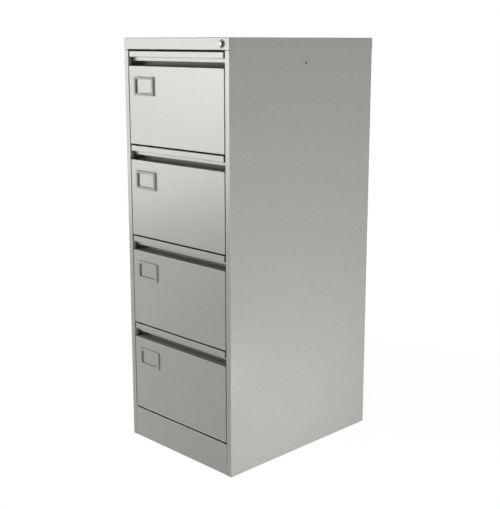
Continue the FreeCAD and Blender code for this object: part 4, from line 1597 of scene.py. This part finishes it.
@dataclass(frozen=True)
class Softbox:
    """A white rectangular area lamp that faces a point."""

    name: str
    place: Sequence[float]
    target: Sequence[float]
    size: Flat
    power: float

    def build(self) -> None:
        """Hang the lamp."""
        data = bpy.data.lights.new(self.name, "AREA")
        data.shape = "RECTANGLE"
        data.size, data.size_y = self.size
        data.energy = self.power
        lamp = bpy.data.objects.new(self.name, data)
        lamp.location = self.place
        aim = Vector(self.target) - Vector(self.place)
        lamp.rotation_euler = aim.to_track_quat("-Z", "Y").to_euler()
        lamp.visible_camera = False
        bpy.context.scene.collection.objects.link(lamp)


@dataclass(frozen=True)
class Studio:
    """Pale floor, soft lamps, a white surround and the camera."""

    camera_place: Sequence[float] = (2.1761, -2.1412, 1.2899)
    yaw: float = 45.44
    pitch: float = 11.47
    lens: float = 67.33
    shift: float = -0.040
    ambient: float = 0.10
    shadow: float = 0.12
    floor_albedo: float = 0.86
    floor_glow: float = 0.94
    floor_fade: Flat = (0.9, 3.0)
    floor_size: float = 40.0
    lamps: Sequence[Softbox] = (
        Softbox("front_high", (-2.15, -2.35, 1.35), (0.0, -0.31, 1.2), (1.7, 0.6), 23.8),
        Softbox("front_middle", (-2.15, -2.35, 0.85), (0.0, -0.31, 1.0), (1.7, 0.5), 12.8),
        Softbox("front_low", (-2.15, -2.35, 0.45), (0.0, -0.31, 0.8), (1.7, 0.4), 12.0),
        Softbox("front_centre", (-1.75, -2.4, 1.15), (0.1, -0.31, 1.15), (0.8, 0.9), 12.4),
        Softbox("right_low", (2.6, 0.0, 0.35), (0.24, 0.0, 0.2), (2.2, 0.6), 36.2),
        Softbox("right_foot", (0.85, -0.1, 0.08), (0.24, -0.05, 0.0), (0.8, 0.14), 1.75),
        Softbox("corner_fill", (2.3, -2.5, 0.9), (0.1, -0.3, 0.8), (1.2, 0.8), 6.0),
        Softbox("top", (0.0, 0.0, 3.2), (0.0, 0.0, 0.6), (2.4, 2.4), 8.0),
        Softbox("rear_left", (-2.4, 2.6, 1.4), (0.0, 0.0, 0.7), (2.0, 1.6), 24.0),
    )

    def build(self) -> None:
        """Set the view transform and build the surroundings."""
        bpy.context.scene.view_settings.view_transform = "Standard"
        self.camera()
        self.floor()
        self.world()
        for lamp in self.lamps:
            lamp.build()

    def camera(self) -> None:
        """Place the camera at eye level in front of the right-hand corner."""
        data = bpy.data.cameras.new("camera")
        data.lens = self.lens
        data.shift_y = self.shift
        data.dof.use_dof = False
        camera = bpy.data.objects.new("camera", data)
        camera.location = self.camera_place
        camera.rotation_euler = (math.radians(90 - self.pitch), 0.0, math.radians(self.yaw))
        bpy.context.scene.collection.objects.link(camera)
        bpy.context.scene.camera = camera

    def floor(self) -> None:
        """Lay a plain pale floor that keeps a soft shadow."""
        shape = Shape()
        reach = self.floor_size / 2 / MM
        corners = [(-reach, -reach), (reach, -reach), (reach, reach), (-reach, reach)]
        shape.mesh.faces.new(
            [shape.mesh.verts.new(Push.UPWARDS.point(a, b, 0)) for a, b in corners]
        )
        floor = shape.object("studio_floor")
        material = bpy.data.materials.new("pale_floor")
        nodes = Nodes(material)
        matt, glow, both = nodes.add("BsdfDiffuse"), nodes.add("Emission"), nodes.add("AddShader")
        seen = nodes.seen_rays()
        albedo = nodes.spread(seen, (0.0, 1.0), (self.floor_albedo, self.shadow))
        nodes.join(albedo, matt.inputs["Color"])
        distance = nodes.add("VectorMath")
        distance.operation = "LENGTH"
        nodes.join(nodes.add("TexCoord").outputs["Object"], distance.inputs[0])
        level = nodes.spread(distance.outputs["Value"], self.floor_fade, (self.floor_glow, 1.0))
        nodes.join(nodes.combine("MULTIPLY", seen, level), glow.inputs["Strength"])
        nodes.join(matt.outputs["BSDF"], both.inputs[0])
        nodes.join(glow.outputs["Emission"], both.inputs[1])
        nodes.join(both.outputs["Shader"], nodes.add("OutputMaterial").inputs["Surface"])
        floor.data.materials.append(material)

    def world(self) -> None:
        """Surround everything with plain white that lights the room softly."""
        world = bpy.data.worlds.new("surround")
        bpy.context.scene.world = world
        nodes = Nodes(world)
        mix = nodes.add("MixShader")
        nodes.join(nodes.seen_rays(), mix.inputs["Fac"])
        for socket, strength in zip(mix.inputs[1:], (self.ambient, 1.0)):
            white = nodes.add("Background", {"Color": (1.0, 1.0, 1.0, 1.0), "Strength": strength})
            nodes.join(white.outputs["Background"], socket)
        nodes.join(mix.outputs["Shader"], nodes.add("OutputWorld").inputs["Surface"])


def main() -> None:
    """Build the cabinet around the frame, then the studio."""
    logging.basicConfig(level=logging.INFO, format="%(name)s: %(message)s")
    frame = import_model()
    finishes = Finishes()
    finishes.paint_frame(frame)
    datum = Datum.read()
    kinds = (Carcass, RunnerFrame, Runners, PushLock, LockLinkage)
    assemblies: list[Assembly] = [kind(finishes, datum) for kind in kinds]
    assemblies += [Drawer(finishes, datum, number) for number in DRAWERS]
    for assembly in assemblies:
        assembly.build()
        LOG.info("%s: %d pieces", type(assembly).__name__, len(assembly.made))
    Studio().build()
    bpy.context.view_layer.update()


if __name__ == "__main__":
    main()
